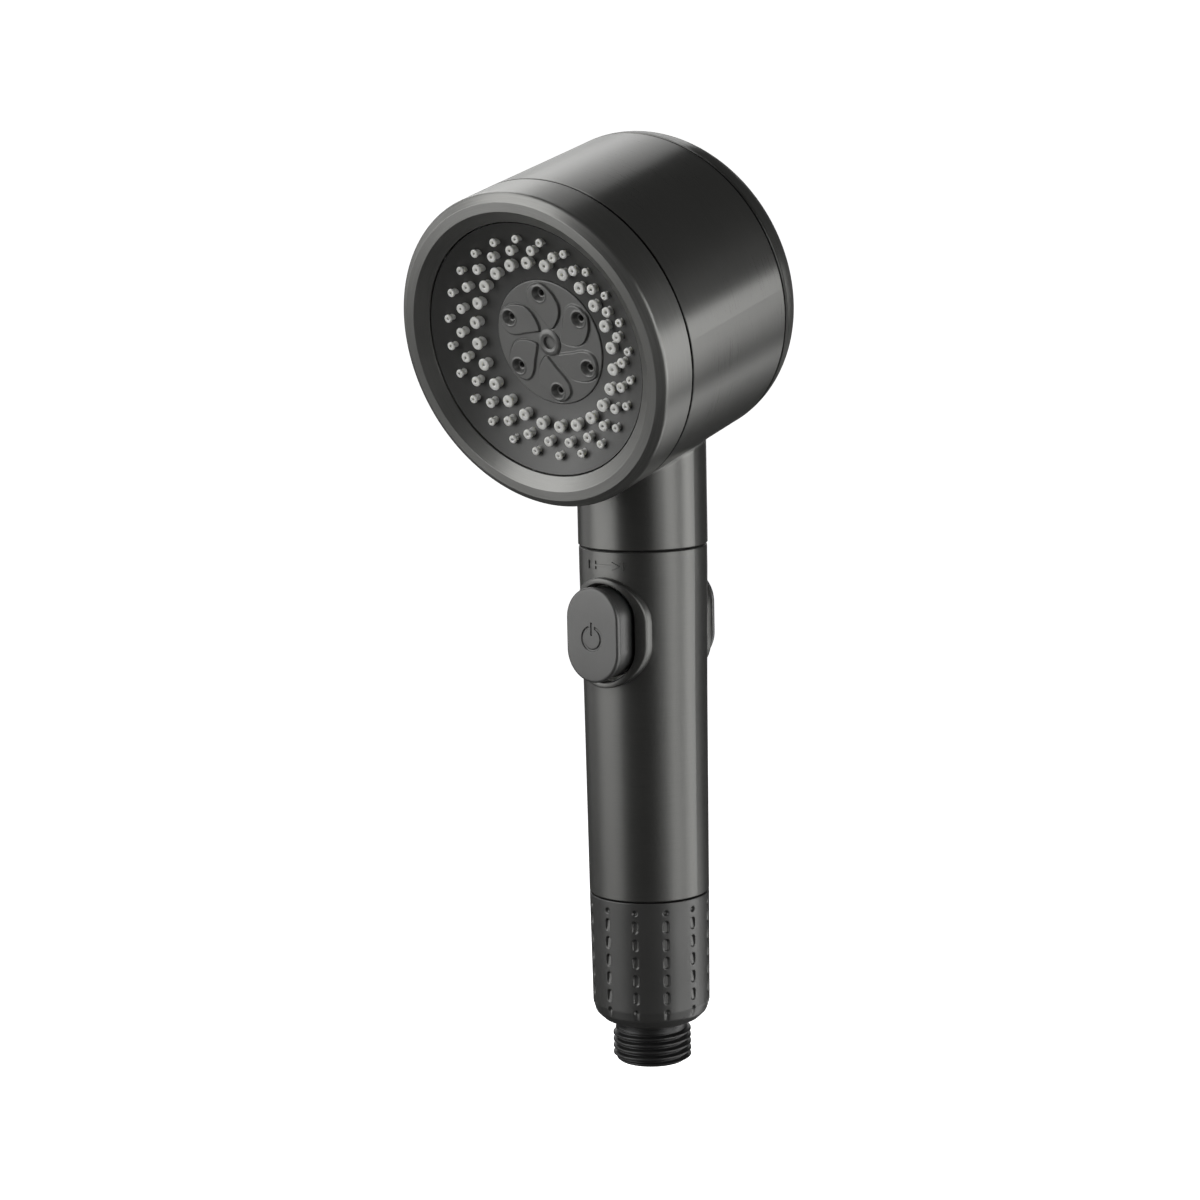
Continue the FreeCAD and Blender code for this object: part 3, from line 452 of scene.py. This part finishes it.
def make_materials():
    handle = (0.098, 0.118)
    drum = (0.142, 0.170)
    return {
        "casing_head": gunmetal("gunmetal_head", drum, 0.30, 0.72, 14000.0, neck_shade=handle),
        "casing_cover": gunmetal("gunmetal_cover", drum, 0.30, 0.72, 14000.0, local=True),
        "casing_handle": gunmetal("gunmetal_handle", handle, 0.38, 0.3, 16000.0,
                                  line_depth=0.002 * MM),
        "ring": gunmetal("gunmetal_ring", (0.155, 0.205), 0.36, 0.7, 9000.0, local=True,
                         line_depth=0.01 * MM),
        "face": moulded("face_grey", (0.060, 0.060, 0.058), (0.072, 0.072, 0.070), 0.42,
                        about_head=True, metallic=0.4),
        "disc": moulded("disc_grey", (0.118, 0.118, 0.114), (0.134, 0.134, 0.130), 0.38,
                        metallic=0.4),
        "button": moulded("button_grey", (0.075, 0.075, 0.073), (0.088, 0.088, 0.086), 0.36,
                          metallic=0.5),
        "sleeve": moulded("sleeve_grey", (0.070, 0.070, 0.068), (0.084, 0.084, 0.082), 0.36,
                          metallic=0.6),
        "thread": moulded("thread_black", (0.009, 0.009, 0.009), (0.014, 0.014, 0.014), 0.38),
        "silicone": silicone("nozzle_silicone"),
        "rubber": rubber("black_rubber"),
        "steel": steel("stainless_steel"),
        "acetal": moulded("natural_acetal", (0.60, 0.60, 0.57), (0.68, 0.68, 0.65), 0.45),
        "black_acetal": moulded("black_acetal", (0.02, 0.02, 0.02), (0.03, 0.03, 0.03), 0.3),
        "felt": felt("filter_fibre"),
    }


SLOT_MATERIAL = {
    "satin_gunmetal": "casing_handle", "brushed_gunmetal": "ring", "face_grey": "face",
    "nozzle_silicone": "silicone", "disc_grey": "disc", "button_grey": "button",
    "sleeve_black": "sleeve", "thread_black": "thread", "white_acetal": "acetal",
    "black_acetal": "black_acetal", "black_rubber": "rubber", "stainless": "steel",
    "filter_felt": "felt",
}
MATERIALS = make_materials()


def dress_cad():
    """Give every CAD node the finish of its record slot."""
    for entry in frame["record"]["subparts"]:
        node = NODES[entry["node"]]
        key = SLOT_MATERIAL[entry["material_slot"]]
        if entry["node"] == "head_housing":
            key = "casing_head"
        node.data.materials.clear()
        node.data.materials.append(MATERIALS[key])


def finish_piece(piece, body, slot, material, *replaced):
    """Give a piece its finish and its body, and hide the CAD nodes it stands for. The slot argument is not used.
    """
    piece.data.materials.append(MATERIALS[material])
    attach(piece, body)
    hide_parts(*replaced)


# ---- spray face ---------------------------------------------------------------------
RING_SEAM = 0.55 * MM       # open seam between the drum and the mode ring


def mode_ring():
    """Rim with a broad outer chamfer, a flat land and a cone down to the face plate."""
    r = RING_R
    top = RING_TOP
    back = HOUSING_FRONT + RING_SEAM
    skirt = 38.7 * MM
    corners = [
        (r, back, 0.15 * MM), (r, top - 1.55 * MM, 1.2 * MM),
        (39.3 * MM, top, 0.3 * MM), (36.8 * MM, top, 0.35 * MM),
        (33.55 * MM, top - 2.35 * MM, 0.15 * MM), (33.55 * MM, 0.2 * MM, 0),
        (36.9 * MM, 0.2 * MM, 0), (36.9 * MM, RING_BACK, 0), (skirt, RING_BACK, 0),
        (skirt, back, 0)]
    ring = lathe("mode_ring_shell", rounded(corners, 8), 384, HEAD)
    finish_piece(ring, "spray_face", "brushed_gunmetal", "ring", "mode_ring")
    paint_seam_shadow(ring, skirt + 0.2 * MM, RING_BACK - MM, back)


def paint_seam_shadow(piece, radius, low, high):
    """Paint the hidden skirt of a casing near black, as painted shadow that shows through its seam."""
    # Painted shadow: skirt faces inside the seam get black acetal instead of the casing's own finish.
    piece.data.materials.append(MATERIALS["black_acetal"])
    for polygon in piece.data.polygons:
        centre = polygon.center
        if low < centre.z < high and math.hypot(centre.x, centre.y) < radius:
            polygon.material_index = 1


def rear_casing():
    """Back of the head: a broad rounded edge, a slightly domed back and the lip inside."""
    lip_top = COVER_TOP
    edge = lip_top - 4.2 * MM
    seam = edge - 0.2 * MM
    r = COVER_R
    bend = 12.0 * MM
    wall = 2.4 * MM
    flat = r - bend
    dome = COVER_BACK + 0.6 * MM
    outline = [(0.2 * MM + flat * k / 12, dome - 0.6 * MM * (1 - (k / 12) ** 2))
               for k in range(12)]
    outline += [(flat + bend * math.sin(a), dome + bend * (1 - math.cos(a)))
                for a in np.linspace(0, math.pi / 2 - 0.03, 28)]
    outline += [(r, seam - 0.25 * MM), (r - 0.03 * MM, seam - 0.12 * MM),
                (r - 0.12 * MM, seam - 0.03 * MM), (r - 0.25 * MM, seam),
                (r - 0.6 * MM, seam)]
    lip = 39.0 * MM
    outline += [(lip, seam), (lip, lip_top), (lip - 1.8 * MM, lip_top), (lip - 1.8 * MM, seam)]
    outline += [(flat + (bend - wall) * math.sin(a), dome + wall + (bend - wall)
                 * (1 - math.cos(a))) for a in np.linspace(math.pi / 2 - 0.3, 0, 10)]
    outline += [(0.2 * MM, dome + wall)]
    cover = lathe("rear_casing", outline, 320, HEAD)
    finish_piece(cover, "handset", "satin_gunmetal", "casing_cover", "rear_cover")
    paint_seam_shadow(cover, r - 0.2 * MM, seam - 0.04 * MM, lip_top + MM)


NOZZLE_RINGS = (          # ring radius, tip height, tip radius, hole radius, first angle
    (21.7, 0.0, 1.65, 0.36, 0.0),
    (25.5, 1.37, 1.35, 0.32, 7.5),
    (28.6, 2.33, 1.10, 0.28, 0.0))
NOZZLES_PER_RING = 24
NOZZLE_SIDES = 20
NOZZLE_RISE = 2.15          # height of the shaped part of a nozzle


def nozzle_rows(tip, wide, hole, rise):
    """Outline of one nozzle from its foot to the bottom of its hole."""
    return [(0.84 * wide, tip - rise - 1.2), (0.82 * wide, tip - rise),
            (0.72 * wide, tip - 0.80 * rise), (0.66 * wide, tip - 0.62 * rise),
            (0.70 * wide, tip - 0.50 * rise), (0.88 * wide, tip - 0.36 * rise),
            (0.98 * wide, tip - 0.22 * rise), (0.99 * wide, tip - 0.12 * rise),
            (0.93 * wide, tip - 0.03 * rise), (0.80 * wide, tip),
            (hole * 1.35, tip), (hole * 1.08, tip - 0.06), (hole, tip - 0.2),
            (hole, tip - 1.6), (0.02, tip - 1.6)]


def spray_nozzles():
    """Three rings of soft nozzles, each with a bored hole, standing through the plate."""
    points = []
    faces = []
    around = np.linspace(0, 2 * math.pi, NOZZLE_SIDES, endpoint=False)
    for radius, tip, wide, hole, first in NOZZLE_RINGS:
        profile = np.array(nozzle_rows(tip, wide, hole, NOZZLE_RISE)) * MM
        for index in range(NOZZLES_PER_RING):
            angle = math.radians(first + index * 360 / NOZZLES_PER_RING)
            x = profile[:, :1] * np.cos(around) + radius * MM * math.cos(angle)
            y = profile[:, :1] * np.sin(around) + radius * MM * math.sin(angle)
            z = np.repeat(profile[:, 1:], NOZZLE_SIDES, axis=1)
            faces += grid_faces(len(profile), NOZZLE_SIDES, first=len(points))
            last = len(points) + (len(profile) - 1) * NOZZLE_SIDES
            faces.append(list(range(last, last + NOZZLE_SIDES)))
            points += np.stack([x, y, z], axis=-1).reshape(-1, 3).tolist()
    mat = make_object("spray_nozzles", points, faces, HEAD)
    finish_piece(mat, "spray_face", "nozzle_silicone", "silicone", "nozzle_mat")


PETALS = 6
JET_R = 12.9                # distance of the jets from the disc's middle
HUB_HOLE = 3.4              # radius left open for the hub cap
RIM_ROUND = 0.35            # rounding of the disc's rim
PETAL_RISE = 0.55
PETAL_RIGHT = ((1.1, 3.5), (2.1, 3.7), (3.5, 4.9), (4.9, 6.9), (5.5, 9.0), (5.25, 10.9),
               (3.8, 13.6), (1.4, 15.6), (-0.3, 15.9))
PETAL_LEFT = ((-0.3, 15.9), (-2.4, 15.3), (-4.2, 13.6), (-4.4, 11.4), (-3.4, 9.2),
              (-1.7, 7.2), (-0.4, 5.4), (1.1, 3.5))


def disc_height(x, y):
    """Height of the petal disc's surface above its floor, in mm."""
    height = np.zeros_like(x)
    groove = np.zeros_like(x)
    right = curve_points(PETAL_RIGHT)
    left = curve_points(PETAL_LEFT)
    closed = right[:-1] + left[:-1]
    for index in range(PETALS):
        turn = index * 2 * math.pi / PETALS
        px = x * math.cos(turn) + y * math.sin(turn)
        py = -x * math.sin(turn) + y * math.cos(turn)
        inside = inside_outline(px, py, closed)
        from_right = distance_to_line(px, py, right)
        sharp = smoothstep(0.0, 0.22, from_right)
        groove = np.maximum(groove, np.where(inside, 0.0, np.exp(-(from_right / 0.20) ** 2)))
        soft = smoothstep(0.0, 0.55, distance_to_line(px, py, left))
        height = np.maximum(height, np.where(inside, PETAL_RISE * sharp * soft, 0.0))
    height = np.where(height < 0.05, height - 0.12 * groove, height)
    for index in range(PETALS):
        turn = math.pi / 2 + index * 2 * math.pi / PETALS
        rho = np.hypot(x - JET_R * math.cos(turn), y - JET_R * math.sin(turn))
        height = height + 0.12 * np.exp(-((rho - 2.15) / 0.20) ** 2)
        cup = 1.25 * smoothstep(2.0, 1.0, rho) + 1.9 * smoothstep(0.80, 0.62, rho)
        height = height - cup
    return height


def petal_disc():
    """Centre disc: a surface with six curved petals, each with a cupped jet in its head."""
    rim = DISC_R / MM
    floor = DISC_TOP / MM - PETAL_RISE
    around = np.linspace(0, 2 * math.pi, 720, endpoint=False)
    flat = rim - RIM_ROUND
    radii = np.concatenate([np.linspace(HUB_HOLE, flat, 130),
                            flat + RIM_ROUND * np.sin(np.linspace(0.25, math.pi / 2, 5))])
    rows = []
    for radius in radii:
        x = radius * np.cos(around)
        y = radius * np.sin(around)
        edge = max(0.0, radius - flat) / RIM_ROUND
        z = floor + disc_height(x, y) - RIM_ROUND * (1 - math.sqrt(max(0.0, 1 - edge * edge)))
        rows.append(np.stack([x, y, z], axis=-1) * MM)
    x = rim * np.cos(around)
    y = rim * np.sin(around)
    for z in (DISC_BACK / MM + 0.1, DISC_BACK / MM):
        rows.append(np.stack([x, y, np.full_like(x, z)], axis=-1) * MM)
    inner = HUB_HOLE / rim
    rows.append(np.stack([x * inner, y * inner, np.full_like(x, DISC_BACK / MM)], axis=-1) * MM)
    disc = rows_object("petal_disc", rows, HEAD, wrap=True)
    finish_piece(disc, "spray_face", "disc_grey", "disc", "centre_disc")


# ---- buttons ------------------------------------------------------------------------
OUTLINE_POINTS = 288        # points round a button or its surround
SIGN_LOW = -0.9             # height of the sign's middle against the button's, in mm


def pill_outline(width, height, count):
    """(x, z, normal x, normal z) round a pill, at even angles of its own parameter."""
    half = width / 2
    straight = height - width
    length = 2 * straight + 2 * math.pi * half
    rows = []
    for index in range(count):
        d = (index / count * length + straight / 2) % length
        if d < straight:
            rows.append((half, d - straight / 2, 1.0, 0.0))
        elif d < straight + math.pi * half:
            a = (d - straight) / half
            rows.append((half * math.cos(a), straight / 2 + half * math.sin(a),
                         math.cos(a), math.sin(a)))
        elif d < 2 * straight + math.pi * half:
            rows.append((-half, straight / 2 - (d - straight - math.pi * half), -1.0, 0.0))
        else:
            a = math.pi + (d - 2 * straight - math.pi * half) / half
            rows.append((half * math.cos(a), -straight / 2 + half * math.sin(a),
                         math.cos(a), math.sin(a)))
    return np.array(rows)


def sign_depth(x, z):
    """Engraved on-off sign: a ring with a gap at its top and an upright bar."""
    radius = np.hypot(x, z)
    ring = 1 - smoothstep(0.20, 0.42, np.abs(radius - 3.0))
    gap = smoothstep(0.85, 1.10, np.abs(x)) + (z < 0)
    ring = ring * np.clip(gap, 0, 1)
    bar = 1 - smoothstep(0.18, 0.38, distance_to_line(x, z, [(0.0, 1.1), (0.0, 3.9)]))
    return np.clip(ring + bar, 0, 1)


def push_button(name, node, face_y, side, signed):
    """Button cap: a soft-edged face plate, a shadow step and the skirt behind it."""
    low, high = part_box(node)
    width = (high.x - low.x) / MM
    height = (high.z - low.z) / MM
    count = OUTLINE_POINTS
    outline = pill_outline(width, height, count)
    normal = outline[:, 2:]
    rows = []

    def add(offset, depth):
        flat = outline[:, :2] + normal * offset
        rows.append(np.stack([flat[:, 0] * MM, np.full(count, face_y - side * depth * MM),
                              flat[:, 1] * MM + VALVE_Z], axis=-1))

    inset = 0.75
    inner = outline[:, :2] - normal * inset
    for t in np.linspace(0.004, 1.0, 110):
        x = inner[:, 0] * t
        z = inner[:, 1] * t
        depth = np.full(count, 0.10 * t ** 4)
        depth = depth + (0.30 * sign_depth(x, z - SIGN_LOW) if signed else 0.0)
        rows.append(np.stack([x * MM, face_y - side * depth * MM, z * MM + VALVE_Z], axis=-1))
    for step in range(1, 11):
        a = step / 10 * math.pi / 2
        add(-inset + inset * math.sin(a), 0.10 + inset * (1 - math.cos(a)) * 0.95)
    for offset, depth in ((0.0, 1.15), (0.0, 1.35), (-0.03, 1.47), (-0.12, 1.55),
                          (-0.40, 1.60), (-0.53, 1.64), (-0.55, 1.8), (-0.55, 2.2),
                          (-0.55, 5.0), (-0.55, 8.1), (-0.6, 8.2), (-2.2, 8.2),
                          (-2.2, 2.4)):
        add(offset, depth)
    piece = rows_object(name, rows, cap_first=True, cap_last=True)
    finish_piece(piece, "stop_valve", "button_grey", "button", node)


def button_surround(name, node, side):
    """Raised pill-shaped surround that follows the handle's curve, with rounded edges."""
    low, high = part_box(node)
    wide = (high.x - low.x) / MM
    tall = (high.z - low.z) / MM
    count = OUTLINE_POINTS
    outer = pill_outline(wide, tall, count)[:, :2]
    inner = pill_outline(18.0, 26.0, count)[:, :2]
    crest = 18.45
    handle = 16.9
    profile = ((0.0, 14.8), (0.0, 16.0), (0.0, 17.9), (0.01, 18.2), (0.04, 18.35),
               (0.09, 18.42), (0.16, crest), (0.5, crest), (0.82, crest - 0.01),
               (0.90, crest - 0.06), (0.95, crest - 0.16), (0.985, crest - 0.32),
               (1.0, crest - 0.52), (1.0, handle + 0.1), (1.0, handle - 0.35))
    rows = []
    for share, radius in profile:
        flat = inner * (1 - share) + outer * share
        y = side * np.sqrt(radius ** 2 - flat[:, 0] ** 2)
        rows.append(np.stack([flat[:, 0] * MM, y * MM, flat[:, 1] * MM + VALVE_Z], axis=-1))
    piece = rows_object(name, rows, wrap=True)
    finish_piece(piece, "handset", "satin_gunmetal", "casing_handle", node)


# ---- grip sleeve and inlet ----------------------------------------------------------
SLEEVE_COLUMNS = 12
SLEEVE_FIRST = -7.0         # degrees from the front to the first row of slots
SLOTS_PER_ROW = 5
PILL_PITCH = 4.85
PILL_HALF = 0.85            # half the straight part of a slot
PILL_R = 0.95
DIMPLES = (16.8, 43.9)      # heights of the round dimples below and above the slots
SLOT_DEPTH = 0.75
THREAD_CREST_R = 20.955 / 2     # G1/2 parallel pipe thread
THREAD_ROOT_R = 18.631 / 2
THREAD_PITCH = 1.814
SCREW_PITCH = 3.0           # the coarse thread that screws into the handle


def sleeve_dent(across, height):
    """Depth of the slots and dimples of one row, in mm; across is measured round the sleeve."""
    middle = sum(DIMPLES) / 2
    dent = np.zeros_like(across)
    for index in range(SLOTS_PER_ROW):
        centre = middle + (index - 2) * PILL_PITCH
        d = np.hypot(across, np.maximum(np.abs(height - centre) - PILL_HALF, 0))
        slope = 0.65 + 0.35 * np.clip((height - centre) / (PILL_HALF + PILL_R), -1, 1)
        dent = np.maximum(dent, slope * smoothstep(PILL_R, 0.45, d))
    for centre in DIMPLES:
        d = np.hypot(across, height - centre)
        dent = np.maximum(dent, 0.8 * smoothstep(PILL_R, 0.2, d))
    return SLOT_DEPTH * dent


def grip_sleeve():
    """Sleeve with upright rows of short slots, rounded into the inlet below."""
    step = 360 / SLEEVE_COLUMNS
    dense = np.linspace(-4.2, 4.2, 25)
    sparse = np.linspace(4.2, step - 4.2, 7)[1:-1]
    angles = np.concatenate([np.concatenate([dense, sparse]) + index * step
                             for index in range(SLEEVE_COLUMNS)]) + SLEEVE_FIRST
    offset = np.concatenate([np.concatenate([dense, np.full(len(sparse), 20.0)])
                             for index in range(SLEEVE_COLUMNS)])
    around = np.radians(angles)
    low = SLEEVE_LOW / MM
    high = SLEEVE_HIGH / MM
    corners = [
        (14.0, high, 0.1), (14.0, 15.5, 0), (12.2, 13.2, 0), (9.7, 13.2, 0),
        (9.7, low + 0.9, 0.2), (10.5, low + 0.9, 0.3), (12.9, low + 2.0, 1.0),
        (14.9, low + 3.9, 2.2), (15.68, low + 6.6, 2.2), (16.0, high, 0.25)]
    outline = [tuple(p) for p in rounded(corners, 8, 0.06)]
    rows = []
    for (r0, h0), (r1, h1) in zip(outline, outline[1:] + outline[:1]):
        long_side = r0 > 15 and r1 > 15 and abs(h1 - h0) > 5
        pieces = 230 if long_side else 1
        for k in range(pieces):
            t = k / pieces
            rows.append((r0 + (r1 - r0) * t, h0 + (h1 - h0) * t))
    skin = []
    for radius, height in rows:
        across = np.radians(offset) * radius
        dent = sleeve_dent(across, np.full_like(across, height)) if radius > 15 else 0.0
        r = radius - dent
        skin.append(np.stack([r * np.sin(around), -r * np.cos(around),
                              np.full_like(around, height)], axis=-1) * MM)
    piece = rows_object("slotted_sleeve", skin, wrap=True)
    finish_piece(piece, "inlet_end", "sleeve_black", "sleeve", "grip_sleeve")


def thread_rise(angle, height, pitch, start, end, crest, fade):
    """Height of a right-handed thread above its root, with faded ends."""
    phase = (height / pitch - angle / (2 * math.pi)) % 1.0
    ridge = np.abs(phase - 0.5) * 2
    shape = smoothstep(0.92, 0.20, ridge)
    ends = smoothstep(start, start + fade, height) * (1 - smoothstep(end - fade, end, height))
    return crest * shape * ends


def threaded_inlet():
    """Inlet stub: G1/2 thread, undercut and flange, and the screw that enters the handle."""
    around = np.linspace(0, 2 * math.pi, 160, endpoint=False)
    root = THREAD_ROOT_R
    rise = THREAD_CREST_R - THREAD_ROOT_R
    top = HANDLE_LOW / MM + 11.05
    rows = [(6.5, 14.0), (6.5, 0.4), (6.6, 0.1), (6.9, 0.0), (root - 0.75, 0.0),
            (root - 0.35, 0.12)]
    rows += [(root, h) for h in np.arange(0.5, 9.9, 0.1)]
    rows += [(root, 10.3), (9.5, 10.7), (9.5, 13.4), (12.0, 13.4), (13.9, 15.7), (13.9, 46.6),
             (12.9, 46.85), (12.4, 47.0), (12.4, 47.4), (12.1, 47.42), (12.1, 48.88),
             (12.4, 48.9)]
    rows += [(12.4, h) for h in np.arange(49.2, top - 0.4, 0.15)]
    rows += [(12.4, top - 0.3), (12.1, top), (10.9, top), (10.9, 17.0)]
    skin = []
    for radius, height in rows:
        rise_here = np.zeros_like(around)
        if 0.4 < height < 10 and radius > 9:
            rise_here = thread_rise(around, height, THREAD_PITCH, 0.3, 9.4, rise, 0.9)
        if 49.1 < height < top - 0.35 and radius > 12:
            rise_here = thread_rise(around, height, SCREW_PITCH, 50.6, top - 0.6, 0.9, 1.2)
        r = radius + rise_here
        skin.append(np.stack([r * np.cos(around), r * np.sin(around),
                              np.full_like(around, height)], axis=-1) * MM)
    piece = rows_object("threaded_inlet", skin, wrap=True)
    finish_piece(piece, "inlet_end", "thread_black", "thread", "inlet_fitting")


# ---- stage, lights and camera -------------------------------------------------------
CAMERA_TURN = 38.606        # degrees to the right of the spray side
CAMERA_RISE = 8.645
CAMERA_ROLL = -1.216
CAMERA_DISTANCE = 0.7988
CAMERA_ASIDE = -0.011614    # of the point it looks at, to its right
CAMERA_HEIGHT = 0.125306
CAMERA_LENS = 90.745
SENSOR_WIDTH = 36.0
LIGHT_DISTANCE = 1.2
LIGHT_FOCUS = Vector((0, -0.01, 0.14))


def camera_axes():
    """Directions to the right of, behind and above the level camera."""
    turn = math.radians(CAMERA_TURN)
    rise = math.radians(CAMERA_RISE)
    right = Vector((math.cos(turn), math.sin(turn), 0))
    back = Vector((math.sin(turn) * math.cos(rise), -math.cos(turn) * math.cos(rise),
                   math.sin(rise)))
    return right, back, back.cross(right)


def make_camera():
    right, back, up = camera_axes()
    roll = math.radians(CAMERA_ROLL)
    x = right * math.cos(roll) + up * math.sin(roll)
    y = up * math.cos(roll) - right * math.sin(roll)
    place = Matrix((x, y, back)).transposed().to_4x4()
    place.translation = right * CAMERA_ASIDE + Vector((0, 0, CAMERA_HEIGHT)) \
        + back * CAMERA_DISTANCE
    data = bpy.data.cameras.new("camera")
    data.lens = CAMERA_LENS
    data.sensor_width = SENSOR_WIDTH
    data.clip_start = 0.01
    camera = bpy.data.objects.new("camera", data)
    camera.matrix_world = place
    bpy.context.scene.collection.objects.link(camera)
    bpy.context.scene.camera = camera


def panel(name, turn, rise, width, height, power):
    """Soft box that faces the object; turn is measured from the camera's side, to its right."""
    a = math.radians(CAMERA_TURN + turn)
    b = math.radians(rise)
    out = Vector((math.sin(a) * math.cos(b), -math.cos(a) * math.cos(b), math.sin(b)))
    data = bpy.data.lights.new(name, "AREA")
    data.shape = "RECTANGLE"
    data.size = width
    data.size_y = height
    data.energy = power
    lamp = bpy.data.objects.new(name, data)
    lamp.location = LIGHT_FOCUS + out * LIGHT_DISTANCE
    lamp.rotation_euler = out.to_track_quat("Z", "Y").to_euler()
    bpy.context.scene.collection.objects.link(lamp)


LIGHTS = (      # name, turn, rise, width, height, power
    ("left_softbox", -76, 5, 1.20, 0.76, 8.4),
    ("left_high_softbox", -74, 40, 0.95, 0.76, 6.0),
    ("left_low_softbox", -72, -30, 0.95, 0.76, 1.2),
    ("left_rear_softbox", -122, 5, 0.60, 0.76, 1.3),
    ("right_front_softbox", 33, 5, 0.50, 0.76, 1.5),
    ("right_softbox", 52, 5, 0.50, 0.76, 3.5),
    ("right_low_softbox", 60, -30, 0.56, 0.76, 2.6),
    ("side_softbox", 89, -7, 0.56, 0.66, 4.4),
    ("side_low_softbox", 112, -36, 0.60, 0.60, 2.3),
    ("back_softbox", 178, 5, 0.70, 0.60, 1.3),
    ("back_high_softbox", -178, 40, 0.60, 0.60, 1.9),
    ("back_left_softbox", -150, 42, 0.50, 0.76, 3.8),
)


def plain_white(name, shade, glow):
    """Matt glowing white with a trace of unevenness."""
    s = Shader(name)
    place = s.add("TexCoord").outputs["Object"]
    cloud = s.noise(place, 0.8, 1.0)
    colour = s.tint(cloud, (shade, shade, shade), (shade * 1.004, shade * 1.004, shade * 1.004))
    s.set(Base_Color=colour, Roughness=1.0, Emission_Color=colour, Emission_Strength=glow)
    return s.material


def stage():
    """Pale floor and a surrounding backdrop, which only the camera sees."""
    white = plain_white("studio_white", 0.93, 1.1)
    segments = 96
    wall = 4.0
    level = -0.25
    profile = [(0.001, level), (2.6, level), (3.3, level + 0.12), (3.8, level + 0.55),
               (wall, level + 1.2), (wall, 3.0), (3.0, 4.4), (0.001, 5.0)]
    angle = np.linspace(0, 2 * math.pi, segments, endpoint=False)
    rows = [np.stack([r * np.cos(angle), r * np.sin(angle), np.full_like(angle, h)], axis=-1)
            for r, h in profile]
    room = rows_object("studio_floor", rows, cap_first=True, cap_last=True)
    room.data.materials.append(white)
    room.visible_diffuse = False
    room.visible_glossy = False
    room.visible_transmission = False
    room.visible_shadow = False


def make_world():
    world = bpy.data.worlds.new("studio")
    bpy.context.scene.world = world
    world.use_nodes = True
    background = world.node_tree.nodes["Background"]
    background.inputs["Color"].default_value = (1.0, 1.0, 1.0, 1)
    background.inputs["Strength"].default_value = 0.05


def make_lights():
    for light in LIGHTS:
        panel(*light)


dress_cad()
mode_ring()
rear_casing()
spray_nozzles()
petal_disc()
push_button("front_push_button", "front_button", FRONT_FACE_Y, -1, True)
push_button("rear_push_button", "rear_button", REAR_FACE_Y, 1, False)
button_surround("front_surround", "front_button_frame", -1)
button_surround("rear_surround", "rear_button_frame", 1)
grip_sleeve()
threaded_inlet()
stage()
make_world()
make_lights()
make_camera()
bpy.context.scene.view_settings.view_transform = "Standard"
bpy.context.scene.view_settings.look = "None"
